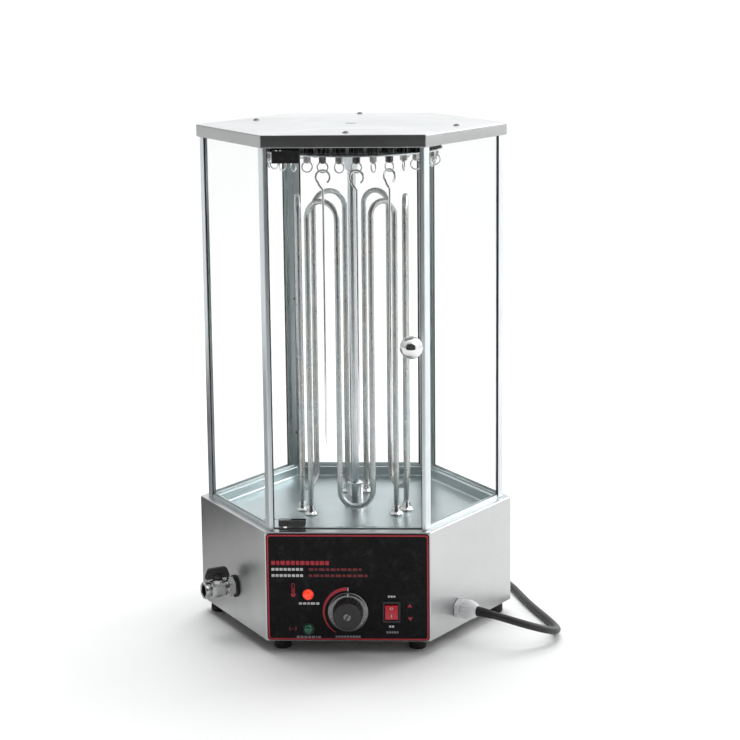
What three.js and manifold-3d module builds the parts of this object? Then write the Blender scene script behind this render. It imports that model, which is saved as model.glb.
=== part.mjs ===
// Vertical rotisserie broiler: a hexagonal glass cabinet on a sheet-metal base,
// with three tubular heaters round a driven shaft and a wheel of skewer hangers.
// Units are millimetres, +Z is up, the front (door and control panel) faces -Y.
import * as THREE from 'three';
import { mergeVertices } from 'three/addons/utils/BufferGeometryUtils.js';
import Module from 'manifold-3d';

const wasm = await Module();
wasm.setup();

// ---------------------------------------------------------------- driving dimensions
const GAP = 0.3;
const SHEET = 1.5;
const BASE_SIDE = 190;
const FOOT_HEIGHT = 16;
const BASE_TOP = 146;
const COVER_SIDE = 184;
const COVER_BOTTOM = 585.5;
const COVER_TOP = 600;
const POST_SIDE = 180;
const POST_FLANGE = 11;
const POST_SHEET = 1.4;
const GLASS = 4;
const DOOR_GLASS = 5;
const DOOR_HALF_WIDTH = 84.3;
const DOOR_FRONT = 157.2;
const TRAY_FLOOR = 134.6;
const TRAY_OPENING = 168;
const SHAFT_RADIUS = 5;
const SHAFT_BOTTOM = 112;
const SHAFT_TOP = 592;
const WHEEL_RADIUS = 108;
const WHEEL_BOTTOM = 570;
const WHEEL_SHEET = 2;
const GEAR_MODULE = 1.5;
const PINION_TEETH = 9;
const RING_TEETH = 124;
const HANGER_COUNT = 32;
const FITTED_HANGERS = [-2, 0, 2];
const HEATER_CIRCLE = 67;
const HEATER_TUBE = 3.3;
const HEATER_LEG_ANGLES = [-49, -12, 22, 51];
const HEATER_TOP = 514;
const HEATER_BOTTOM = 150;
const HINGE_X = -72;
const CORD_RADIUS = 4.6;
const COIL_MID_RADIUS = 50;
const KNOB_BALL = 13;
const BALL_STAND_OFF = 23;

const SQRT3 = Math.sqrt(3);
const DEG = Math.PI / 180;
const BASE_FLAT = BASE_SIDE * SQRT3 / 2;
const POST_FLAT = POST_SIDE * SQRT3 / 2;
const HANGER_CIRCLE = GEAR_MODULE * (PINION_TEETH + RING_TEETH) / 2;
const PINION_TIP = GEAR_MODULE * (PINION_TEETH + 2) / 2;
const HANGER_STEP = 2 * Math.PI / HANGER_COUNT;
const FIRST_HANGER = 6.6 * DEG;
const HANGER_PHASES = [90, 78, 55];
const FRONT_REACH = DOOR_FRONT + GAP + BALL_STAND_OFF + KNOB_BALL;
const CENTRE_Y = (FRONT_REACH - BASE_FLAT) / 2;

// ---------------------------------------------------------------- scene graph
const group = new THREE.Group();
const machine = new THREE.Group();
machine.position.y = CENTRE_Y;
group.add(machine);

const steel = () => new THREE.MeshStandardMaterial({ color: 0xb9bdbd, roughness: 0.35, metalness: 0.9 });
const chrome = () => new THREE.MeshStandardMaterial({ color: 0xdfe2e4, roughness: 0.12, metalness: 1.0 });
const glass = () => new THREE.MeshStandardMaterial({
  color: 0xd8e6e4, roughness: 0.05, metalness: 0.0, transparent: true, opacity: 0.25,
});
const plastic = (color, roughness = 0.5) => {
  return new THREE.MeshStandardMaterial({ color, roughness, metalness: 0 });
};
const zinc = () => new THREE.MeshStandardMaterial({ color: 0x8d9294, roughness: 0.5, metalness: 0.8 });
const sheath = () => new THREE.MeshStandardMaterial({ color: 0x8f9490, roughness: 0.4, metalness: 0.9 });

function place(name, shape, material) {
  const geometry = shape instanceof THREE.BufferGeometry ? shape : toGeometry(shape);
  const mesh = new THREE.Mesh(geometry, material);
  mesh.name = name;
  machine.add(mesh);
  return mesh;
}

// ---------------------------------------------------------------- solids
function toSolid(geometry) {
  const bare = geometry.clone();
  bare.deleteAttribute('normal');
  bare.deleteAttribute('uv');
  const merged = mergeVertices(bare, 1e-4);
  const mesh = new wasm.Mesh({
    numProp: 3,
    vertProperties: new Float32Array(merged.attributes.position.array),
    triVerts: new Uint32Array(merged.index.array),
  });
  return new wasm.Manifold(mesh);
}

function toGeometry(solid) {
  const mesh = solid.getMesh();
  const geometry = new THREE.BufferGeometry();
  geometry.setAttribute('position', new THREE.BufferAttribute(new Float32Array(mesh.vertProperties), 3));
  geometry.setIndex(new THREE.BufferAttribute(new Uint32Array(mesh.triVerts), 1));
  geometry.computeVertexNormals();
  return geometry;
}

const cut = (body, ...tools) => tools.reduce((rest, tool) => rest.subtract(tool), body);
const join = (body, ...more) => more.reduce((sum, piece) => sum.add(piece), body);

function boxBetween(low, high) {
  const size = high.map((value, i) => value - low[i]);
  const box = new THREE.BoxGeometry(...size);
  box.translate(...high.map((value, i) => (value + low[i]) / 2));
  return toSolid(box);
}

function hexShape(radius) {
  const corners = [0, 1, 2, 3, 4, 5].map((k) => {
    return new THREE.Vector2(radius * Math.cos(k * 60 * DEG), radius * Math.sin(k * 60 * DEG));
  });
  return new THREE.Shape(corners);
}

function prism(shape, low, high) {
  const geometry = new THREE.ExtrudeGeometry(shape, { depth: high - low, bevelEnabled: false });
  geometry.translate(0, 0, low);
  return toSolid(geometry);
}

const hexPrism = (radius, low, high) => prism(hexShape(radius), low, high);

// A turned body about +Z. The profile is a list of [radius, height], closed onto the axis.
function turned(profile, sides = 16) {
  const points = profile.map(([radius, height]) => new THREE.Vector2(radius, height));
  const geometry = new THREE.LatheGeometry(points, sides);
  geometry.rotateX(Math.PI / 2);
  return toSolid(geometry);
}

// A turned ring about +Z. The profile closes on itself, away from the axis.
function turnedRing(profile, sides = 16) {
  return turned([...profile, profile[0]], sides);
}

function rod(radius, low, high, sides = 16) {
  return turned([[0, low], [radius, low], [radius, high], [0, high]], sides);
}

function sleeve(inner, outer, low, high, sides = 16) {
  return turnedRing([[inner, low], [outer, low], [outer, high], [inner, high]], sides);
}

function moved(solid, x, y, z) {
  return solid.translate([x, y, z]);
}

// The point at a distance from the axis on a face's outward normal, shifted along the face.
function facePoint(faceAngle, distance, along, height = 0) {
  const angle = faceAngle * DEG;
  return new THREE.Vector3(
    distance * Math.cos(angle) - along * Math.sin(angle),
    distance * Math.sin(angle) + along * Math.cos(angle),
    height,
  );
}

// Turns a body that was made about +Z so that its +Z points out of the cabinet,
// along the outward normal of a face whose normal is at faceAngle degrees.
function onFace(solid, faceAngle, distance, along, height) {
  const spot = facePoint(faceAngle, distance, along, height);
  return solid.rotate([0, 90, 0]).rotate([0, 0, faceAngle]).translate(spot.toArray());
}

const LEFT_FRONT_FACE = -150;
const RIGHT_FRONT_FACE = -30;

// A path that only takes the stations it is given, so that straight lengths need one step.
class StationPath extends THREE.Curve {
  constructor(stations) {
    super();
    this.stations = stations;
  }

  station(t) {
    return this.stations[Math.round(t * (this.stations.length - 1))];
  }

  getPoint(t, target = new THREE.Vector3()) {
    return target.copy(this.station(t).point);
  }

  getPointAt(t, target) {
    return this.getPoint(t, target);
  }

  getTangent(t, target = new THREE.Vector3()) {
    return target.copy(this.station(t).tangent);
  }

  getTangentAt(t, target) {
    return this.getTangent(t, target);
  }
}

function sweep(stations, radius, sides) {
  const circle = new THREE.Shape();
  const corners = [];
  for (let i = 0; i < sides; i += 1) {
    const angle = 2 * Math.PI * i / sides;
    corners.push(new THREE.Vector2(radius * Math.cos(angle), radius * Math.sin(angle)));
  }
  circle.setFromPoints(corners);
  return new THREE.ExtrudeGeometry(circle, {
    steps: stations.length - 1,
    extrudePath: new StationPath(stations),
    bevelEnabled: false,
  });
}

function arcStations(centre, from, normal, angle, steps) {
  const stations = [];
  const spoke = from.clone().sub(centre);
  for (let i = 0; i <= steps; i += 1) {
    const turn = new THREE.Quaternion().setFromAxisAngle(normal, angle * i / steps);
    const arm = spoke.clone().applyQuaternion(turn);
    stations.push({
      point: centre.clone().add(arm),
      tangent: normal.clone().cross(arm).normalize().multiplyScalar(Math.sign(angle)),
    });
  }
  return stations;
}

// ---------------------------------------------------------------- base
const TAP_ALONG = 6;
const TAP_HEIGHT = 58;
const TAP_STEM = 23;
const TAP_BOSS = 12.6;
const DRAIN_DISTANCE = 128;
const GLAND_ALONG = -33;
const GLAND_HEIGHT = 40;
const KNOB_HEIGHT = 52;
const LAMP_X = -46;
const LAMP_HEIGHTS = { heating_lamp: 72.5, power_lamp: 31 };
const LAMP_BODY = 5;
const SWITCH_X = 50;
const SWITCH_HEIGHT = 52;
const SWITCH_BODY = [17.4, 22.4];
const PANEL_SHEET = 1.5;
const PANEL_FRONT = BASE_FLAT + GAP + PANEL_SHEET;
const FOOT_CIRCLE = 158;
const SIDE_FOOT_CIRCLE = 170;
const REAR_FLANGE = 15;
const FRONT_FLANGE = 4.3;

function frontOpenings(depthBack, depthFront) {
  const span = depthFront - depthBack;
  const tools = [];
  tools.push(moved(rod(5, 0, span).rotate([90, 0, 0]), 0, -depthBack, KNOB_HEIGHT));
  for (const height of Object.values(LAMP_HEIGHTS)) {
    tools.push(moved(rod(LAMP_BODY + GAP, 0, span).rotate([90, 0, 0]), LAMP_X, -depthBack, height));
  }
  const [width, tall] = SWITCH_BODY.map((size) => size / 2 + GAP);
  tools.push(boxBetween(
    [SWITCH_X - width, -depthFront, SWITCH_HEIGHT - tall],
    [SWITCH_X + width, -depthBack, SWITCH_HEIGHT + tall],
  ));
  return tools;
}

function baseHousing() {
  const inner = BASE_SIDE - SHEET / Math.cos(30 * DEG);
  const shell = cut(
    hexPrism(BASE_SIDE, FOOT_HEIGHT, BASE_TOP),
    hexPrism(inner, FOOT_HEIGHT - 1, BASE_TOP - SHEET),
    hexPrism(TRAY_OPENING, BASE_TOP - 2 * SHEET, BASE_TOP + 1),
    onFace(rod(7, -6, 6), LEFT_FRONT_FACE, BASE_FLAT, TAP_ALONG, TAP_HEIGHT),
    onFace(rod(8.3, -6, 6), RIGHT_FRONT_FACE, BASE_FLAT, GLAND_ALONG, GLAND_HEIGHT),
    ...frontOpenings(BASE_FLAT - 4, BASE_FLAT + 4),
  );
  place('base_housing', shell, steel());
  const plateRadius = inner - 2 * GAP;
  const slots = [-1, 0, 1].map((row) => {
    return boxBetween([70, row * 26 - 3, FOOT_HEIGHT - 1], [140, row * 26 + 3, FOOT_HEIGHT + 4]);
  });
  const plate = cut(hexPrism(plateRadius, FOOT_HEIGHT, FOOT_HEIGHT + SHEET), ...slots);
  place('bottom_plate', join(plate, motorBracket()), zinc());
}

// A folded bridge welded to the bottom plate, which the gearmotor hangs under.
function motorBracket() {
  const deck = cut(boxBetween([-60, -32, 92], [60, 32, 94]), rod(14, 80, 100));
  const legs = [-1, 1].map((side) => {
    return boxBetween([side * 59 - 1, -32, FOOT_HEIGHT + SHEET - 0.5], [side * 59 + 1, 32, 93]);
  });
  return join(deck, ...legs);
}

function feet() {
  for (let k = 0; k < 6; k += 1) {
    const angle = (60 * k + 240) * DEG;
    const footTop = FOOT_HEIGHT - GAP;
    const foot = turned([[0, 0], [9.4, 0], [10.2, 1.5], [9.6, footTop], [0, footTop]]);
    const reach = k === 2 || k === 5 ? SIDE_FOOT_CIRCLE : FOOT_CIRCLE;
    const x = reach * Math.cos(angle);
    const y = reach * Math.sin(angle);
    place(`foot_${k + 1}`, moved(foot, x, y, 0), plastic(0x141414, 0.8));
  }
}

const COLLAR_BORE = SHAFT_RADIUS + GAP;
const HEATER_AZIMUTHS = { heater_front: 0, heater_right: 120, heater_left: 240 };

function polar(radius, azimuth, height = 0) {
  return new THREE.Vector3(radius * Math.sin(azimuth * DEG), -radius * Math.cos(azimuth * DEG), height);
}

function dripTray() {
  const rim = BASE_TOP + GAP;
  const wall = TRAY_OPENING - 1;
  const body = join(
    hexPrism(TRAY_OPENING + 3.5, rim, rim + 1),
    hexPrism(wall, TRAY_FLOOR - SHEET, rim + 1),
  );
  const holes = [rod(7, TRAY_FLOOR - 5, TRAY_FLOOR + 5)];
  for (const azimuth of Object.values(HEATER_AZIMUTHS)) {
    for (const leg of [HEATER_LEG_ANGLES[0], HEATER_LEG_ANGLES[3]]) {
      const spot = polar(HEATER_CIRCLE, azimuth + leg);
      holes.push(moved(rod(4.2, TRAY_FLOOR - 5, TRAY_FLOOR + 5, 10), spot.x, spot.y, 0));
    }
  }
  const drain = facePoint(LEFT_FRONT_FACE, DRAIN_DISTANCE, TAP_ALONG);
  const outlet = rod(6, TRAY_FLOOR - 24, TRAY_FLOOR - 0.5, 16);
  const bore = rod(4, TRAY_FLOOR - 30, TRAY_FLOOR + 5, 16);
  const hollow = hexPrism(wall - SHEET, TRAY_FLOOR, rim + 5);
  const pan = join(cut(body, hollow, ...holes), moved(outlet, drain.x, drain.y, 0));
  place('drip_tray', cut(pan, moved(bore, drain.x, drain.y, 0)), steel());
}

// ---------------------------------------------------------------- controls
function roundedShape(width, height, radius) {
  const shape = new THREE.Shape();
  const x = width / 2 - radius;
  const y = height / 2 - radius;
  shape.absarc(x, y, radius, 0, Math.PI / 2);
  shape.absarc(-x, y, radius, Math.PI / 2, Math.PI);
  shape.absarc(-x, -y, radius, Math.PI, 1.5 * Math.PI);
  shape.absarc(x, -y, radius, 1.5 * Math.PI, 2 * Math.PI);
  return shape;
}

function frontPlate(shape, curveSegments, back, thickness, x, z) {
  const geometry = new THREE.ExtrudeGeometry(shape, { depth: thickness, bevelEnabled: false, curveSegments });
  geometry.rotateX(Math.PI / 2);
  geometry.translate(x, -back, z);
  return toSolid(geometry);
}

function controlPanel() {
  const panelLow = 17;
  const panelHigh = 144.5;
  const sheet = frontPlate(
    roundedShape(188, panelHigh - panelLow, 4), 3,
    BASE_FLAT + GAP, PANEL_SHEET, 0, (panelLow + panelHigh) / 2,
  );
  place('control_panel', cut(sheet, ...frontOpenings(BASE_FLAT, BASE_FLAT + 4)), plastic(0x16171a, 0.6));

  // Thermostat body hangs behind the front wall and its spindle comes through it.
  const wallBack = BASE_FLAT - SHEET - GAP;
  const spindle = moved(rod(3, 0, 14, 12).rotate([90, 0, 0]), 0, -wallBack, KNOB_HEIGHT);
  const block = boxBetween([-17, -wallBack, KNOB_HEIGHT - 20], [17, -wallBack + 30, KNOB_HEIGHT + 14]);
  place('thermostat_body', join(block, spindle), zinc());

  const skirt = 23.5;
  const grip = 17.5;
  const knob = turned([
    [0, 0], [skirt, 0], [skirt, 1.6], [skirt - 1.6, 3.4], [grip + 0.6, 3.8], [grip, 5], [grip - 0.7, 19],
    [grip - 2.2, 20.6], [5.4, 20.6], [5, 21.4], [0, 21.4],
  ], 28);
  const bore = rod(3 + GAP, -1, 12.5, 12);
  const turnedKnob = cut(knob, bore).rotate([90, 0, 0]);
  place('thermostat_knob', moved(turnedKnob, 0, -(PANEL_FRONT + 0.6), KNOB_HEIGHT), plastic(0x1b1c1f, 0.45));

  for (const [name, height] of Object.entries(LAMP_HEIGHTS)) {
    const lens = turned([
      [0, -16], [LAMP_BODY, -16], [LAMP_BODY, 0], [6.2, 0], [6.2, 1], [5.4, 3], [3.2, 4.3], [0, 4.7],
    ], 14).rotate([90, 0, 0]);
    const colour = name === 'heating_lamp' ? 0xe02a18 : 0x0e6a47;
    place(name, moved(lens, LAMP_X, -(PANEL_FRONT + GAP), height), plastic(colour, 0.25));
  }

  const [bodyWidth, bodyTall] = SWITCH_BODY;
  const bezelBack = PANEL_FRONT + GAP;
  const bezel = frontPlate(roundedShape(20.6, 25.6, 1.2), 2, bezelBack, 1.8, SWITCH_X, SWITCH_HEIGHT);
  const box = boxBetween(
    [SWITCH_X - bodyWidth / 2, -bezelBack - 0.1, SWITCH_HEIGHT - bodyTall / 2],
    [SWITCH_X + bodyWidth / 2, -bezelBack + 24, SWITCH_HEIGHT + bodyTall / 2],
  );
  const pocket = boxBetween(
    [SWITCH_X - 8, -bezelBack - 4, SWITCH_HEIGHT - 9.8],
    [SWITCH_X + 8, -bezelBack + 12, SWITCH_HEIGHT + 9.8],
  );
  place('motor_switch_housing', cut(join(bezel, box), pocket), plastic(0x121214, 0.5));

  // The rocker is a bar whose two front faces slope away from a shallow valley.
  const half = 8.7;
  const outline = new THREE.Shape([
    new THREE.Vector2(-half, -2.4), new THREE.Vector2(-3, -6.5), new THREE.Vector2(3, -6.5),
    new THREE.Vector2(half, -2.4), new THREE.Vector2(half, 1.2), new THREE.Vector2(0, 0.6),
    new THREE.Vector2(-half, 3.6),
  ]);
  const rocker = new THREE.ExtrudeGeometry(outline, { depth: 15, bevelEnabled: false });
  rocker.rotateY(Math.PI / 2);
  rocker.rotateX(Math.PI);
  rocker.translate(SWITCH_X - 7.5, -bezelBack - 1, SWITCH_HEIGHT);
  place('motor_switch_rocker', rocker, plastic(0xb3122c, 0.3));
}

// ---------------------------------------------------------------- drain tap
function drainTap() {
  const face = (solid) => onFace(solid, LEFT_FRONT_FACE, BASE_FLAT, TAP_ALONG, TAP_HEIGHT);
  const washer = sleeve(6.8, 13.4, GAP, 2.6, 18);
  place('drain_tap_washer', face(washer), plastic(0x101010, 0.85));
  const hexBody = new THREE.CylinderGeometry(12.2, 12.2, 9, 6);
  hexBody.rotateX(Math.PI / 2);
  hexBody.translate(0, 0, 2.9 + 4.5);
  const barrel = turned([
    [0, 2.9], [10, 2.9], [10, 12], [11.2, 13], [11.2, 33], [10.2, 34], [10.2, 41], [0, 41],
  ]);
  const shank = rod(6.2, -14, 4, 20);
  const bore = rod(5.4, -20, 60, 12);
  const boss = cut(rod(5.6, 0, TAP_BOSS), rod(8, -1, 6)).rotate([0, -90, 0]).translate([0, 0, TAP_STEM]);
  const body = join(cut(join(barrel, toSolid(hexBody), shank), bore), boss);
  place('drain_tap_body', face(body), chrome());

  // Butterfly handle: a flat winged lever lying along the tap, widest where it meets the body.
  const wings = new THREE.Shape([
    new THREE.Vector2(-15, 0), new THREE.Vector2(-15, 3), new THREE.Vector2(-11.5, 12),
    new THREE.Vector2(-10, 13), new THREE.Vector2(10, 13), new THREE.Vector2(11.5, 12),
    new THREE.Vector2(15, 3), new THREE.Vector2(15, 0),
  ]);
  const blade = new THREE.ExtrudeGeometry(wings, { depth: 5, bevelEnabled: false });
  blade.translate(0, 0, -2.5);
  blade.rotateX(Math.PI / 2);
  const hub = rod(6.4, 0, 6);
  const handle = join(toSolid(blade), hub).rotate([0, 0, LEFT_FRONT_FACE]);
  const spot = facePoint(LEFT_FRONT_FACE, BASE_FLAT + TAP_STEM, TAP_ALONG);
  place(
    'drain_tap_handle',
    handle.translate([spot.x, spot.y, TAP_HEIGHT + TAP_BOSS + GAP]),
    plastic(0x0d0d0e, 0.45),
  );
}

// ---------------------------------------------------------------- cable gland and mains lead
const GLAND_TIP = BASE_FLAT + 27;
const COIL_CENTRE = new THREE.Vector3(36, 238, 0);
const COIL_LOW = GAP;
const COIL_HIGH = COIL_LOW + 4 * CORD_RADIUS;
const TAIL_START = 40;
const TAIL_LENGTH = 26;
const PLUG_HEIGHT = 17.6;
const CORD_ROUTE = [
  [176, -139.3, 37.5], [198, -144.8, 32.5], [219, -139.5, 25], [235, -124.5, 17], [242.5, -103, 10.5],
  [242, -80, 6.3], [237, -57, 4.9], [229.5, -34, 4.9], [221.5, -11, 4.9], [214, 12, 4.9], [207, 36, 4.9],
  [200.5, 60, 4.9], [193.5, 84, 4.9], [184.5, 108, 4.9], [171.5, 131, 4.9], [153, 151, 4.9], [130, 167, 4.9],
  [103, 178, 4.9], [76, 183, 4.9],
];

function mainsLead() {
  const onWall = (solid) => onFace(solid, RIGHT_FRONT_FACE, BASE_FLAT, GLAND_ALONG, GLAND_HEIGHT);
  const offWall = (distance, height) => facePoint(RIGHT_FRONT_FACE, distance, GLAND_ALONG, height);
  const body = cut(
    join(rod(8, -10, 1, 20), rod(12.4, GAP, 6.5, 6), rod(9.2, 6, 9)),
    rod(CORD_RADIUS + 0.6, -12, 20, 16),
  );
  place('cable_gland_body', onWall(body), plastic(0xe6e8ea, 0.4));
  const cap = turnedRing([
    [CORD_RADIUS + 0.5, 9.4], [11.4, 9.4], [11.4, 17], [9.8, 22.5], [7.2, 26.4], [CORD_RADIUS + 0.5, 27],
  ]);
  place('cable_gland_nut', onWall(cap), plastic(0xeceef0, 0.4));

  const points = [
    offWall(BASE_FLAT - 8, GLAND_HEIGHT),
    offWall(BASE_FLAT + 14, GLAND_HEIGHT),
    offWall(GLAND_TIP + 6, GLAND_HEIGHT - 0.5),
  ];
  for (const [x, y, z] of CORD_ROUTE) {
    points.push(new THREE.Vector3(x, y, z));
  }
  const route = new THREE.CatmullRomCurve3(points, false, 'centripetal');
  const steps = 34;
  const stations = [];
  for (let i = 0; i <= steps; i += 1) {
    stations.push({ point: route.getPointAt(i / steps), tangent: route.getTangentAt(i / steps) });
  }
  place('power_cord', toSolid(sweep(stations, CORD_RADIUS, 8)), plastic(0x141416, 0.6));

  // The put-away length: a round coil, then a short tail into the plug.
  const inner = COIL_MID_RADIUS - 2 * CORD_RADIUS;
  const outer = COIL_MID_RADIUS + 2 * CORD_RADIUS;
  const coil = sleeve(inner, outer, COIL_LOW, COIL_HIGH, 24);
  place('cord_coil', coil.translate(COIL_CENTRE.toArray()), plastic(0x141416, 0.6));
  const tailY = COIL_CENTRE.y + COIL_MID_RADIUS + CORD_RADIUS;
  const tailX = COIL_CENTRE.x + TAIL_START;
  const tail = rod(CORD_RADIUS, 0, TAIL_LENGTH, 8).rotate([0, 90, 0]);
  place('cord_tail', moved(tail, tailX, tailY, PLUG_HEIGHT), plastic(0x141416, 0.6));
  mainsPlug(tailX + TAIL_LENGTH + GAP, tailY);
}

// A two-pin earthed plug lying on its side, its cord entry towards -X.
function mainsPlug(entryX, y) {
  const shell = turned([
    [0, 0], [6, 0], [7, 16], [12, 22], [15.5, 30], [17.4, 34], [17.4, 50], [0, 50],
  ]);
  const pins = [-9.5, 9.5].map((offset) => moved(rod(2.4, 49, 69, 8), 0, offset, 0));
  const plug = join(shell, ...pins).rotate([0, 90, 0]);
  place('mains_plug', plug.translate([entryX, y, PLUG_HEIGHT]), plastic(0x17171a, 0.5));
}

// ---------------------------------------------------------------- drive
function drive() {
  const gearbox = boxBetween([-32, -26, 68], [32, 26, 91.6]);
  const motor = rod(23, 30, 68.1, 24);
  const output = rod(4, 91, 108, 16);
  place('gearmotor', join(gearbox, motor, output), zinc());
  const bored = (solid, low, high, radius) => cut(solid, rod(radius + GAP, low, high, 16));
  const coupling = bored(bored(rod(10, 97, 121, 20), 96, 108.4, 4), 111.6, 122, SHAFT_RADIUS);
  place('shaft_coupling', coupling, zinc());
  place('drive_shaft', rod(SHAFT_RADIUS, SHAFT_BOTTOM, SHAFT_TOP, 16), chrome());
  const collar = turnedRing([
    [COLLAR_BORE, TRAY_FLOOR + GAP], [13, TRAY_FLOOR + GAP], [13, TRAY_FLOOR + 2.6], [9.5, TRAY_FLOOR + 3.4],
    [9.5, TRAY_FLOOR + 29], [8.6, TRAY_FLOOR + 30], [COLLAR_BORE, TRAY_FLOOR + 30],
  ]);
  place('shaft_collar', collar, chrome());
}

// ---------------------------------------------------------------- heaters
// One steel-sheathed element bent into an M, its four legs on a circle round the shaft.
function heaterStations(azimuth) {
  const legs = HEATER_LEG_ANGLES.map((angle) => polar(HEATER_CIRCLE, azimuth + angle));
  const up = new THREE.Vector3(0, 0, 1);
  const down = up.clone().negate();
  const stations = [{ point: legs[0].clone().setZ(118), tangent: up.clone() }];
  for (let i = 0; i < 3; i += 1) {
    const atTop = i % 2 === 0;
    const across = legs[i + 1].clone().sub(legs[i]);
    const bend = across.length() / 2;
    const height = atTop ? HEATER_TOP - bend : HEATER_BOTTOM + bend;
    const centre = legs[i].clone().add(legs[i + 1]).multiplyScalar(0.5).setZ(height);
    const rise = atTop ? up : down;
    const normal = across.clone().normalize().cross(rise).normalize().negate();
    stations.push(...arcStations(centre, legs[i].clone().setZ(height), normal, Math.PI, 7));
  }
  stations.push({ point: legs[3].clone().setZ(118), tangent: down.clone() });
  return stations;
}

function heaters() {
  for (const [name, azimuth] of Object.entries(HEATER_AZIMUTHS)) {
    let element = toSolid(sweep(heaterStations(azimuth), HEATER_TUBE, 8));
    for (const leg of [HEATER_LEG_ANGLES[0], HEATER_LEG_ANGLES[3]]) {
      const spot = polar(HEATER_CIRCLE, azimuth + leg);
      const floor = TRAY_FLOOR + GAP;
      const ferrule = turned([
        [0, floor], [8.2, floor], [8.2, floor + 1.6], [5.6, floor + 5.5], [4.4, floor + 11], [0, floor + 11],
      ], 10);
      const under = TRAY_FLOOR - SHEET - GAP;
      const nut = rod(7, under - 5, under, 6);
      element = join(element, moved(ferrule, spot.x, spot.y, 0), moved(nut, spot.x, spot.y, 0));
    }
    place(name, element, sheath());
  }
}

// ---------------------------------------------------------------- cabinet
function cabinet() {
  const low = BASE_TOP + 1.6;
  const postLow = BASE_TOP + GAP;
  const high = COVER_BOTTOM - GAP;
  const names = ['right', 'rear_right', 'rear_left', 'left', 'front_left', 'front_right'];
  for (let k = 0; k < 6; k += 1) {
    const angle = k * 60;
    const vertex = new THREE.Vector2(POST_SIDE, 0);
    const toNext = new THREE.Vector2(-0.5, SQRT3 / 2);
    const toPrevious = new THREE.Vector2(-0.5, -SQRT3 / 2);
    const next = { 1: REAR_FLANGE, 4: FRONT_FLANGE }[k] ?? POST_FLANGE;
    const previous = { 2: REAR_FLANGE, 5: FRONT_FLANGE }[k] ?? POST_FLANGE;
    const inner = vertex.clone().setX(POST_SIDE - POST_SHEET / Math.cos(30 * DEG));
    const inwardNext = new THREE.Vector2(-SQRT3 / 2, -0.5).multiplyScalar(POST_SHEET);
    const inwardPrevious = new THREE.Vector2(-SQRT3 / 2, 0.5).multiplyScalar(POST_SHEET);
    const endNext = vertex.clone().addScaledVector(toNext, next);
    const endPrevious = vertex.clone().addScaledVector(toPrevious, previous);
    const backNext = endNext.clone().add(inwardNext);
    const backPrevious = endPrevious.clone().add(inwardPrevious);
    const section = new THREE.Shape([vertex, endNext, backNext, inner, backPrevious, endPrevious]);
    const post = prism(section, postLow, high).rotate([0, 0, angle]);
    place(`post_${names[k]}`, post, steel());
  }
  const panes = { rear: 90, rear_left: 150, left: -150, right: -30, rear_right: 30 };
  for (const [name, angle] of Object.entries(panes)) {
    const outer = POST_FLAT - POST_SHEET - GAP;
    const pane = boxBetween([outer - GLASS, -83, low], [outer, 83, high]).rotate([0, 0, angle]);
    place(`glass_${name}`, pane, glass());
  }
}

const DOOR_LOW = 150;
const DOOR_HIGH = 579.2;
const CLIP_LEFT = -79.5;
const CLIP_RIGHT = -48.5;
const CLIP_BACK = 149;
const CLIP_FRONT = 160.2;
const HINGE_Y = -(DOOR_FRONT - DOOR_GLASS / 2);
const LOW_CLIP_TOP = 158.3;
const HIGH_CLIP_LOW = 568.7;
const NOTCH_EDGE = -65;
const PIN_RADIUS = 2.5;
const BALL_X = 75;
const BALL_HEIGHT = 364.5;

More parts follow.
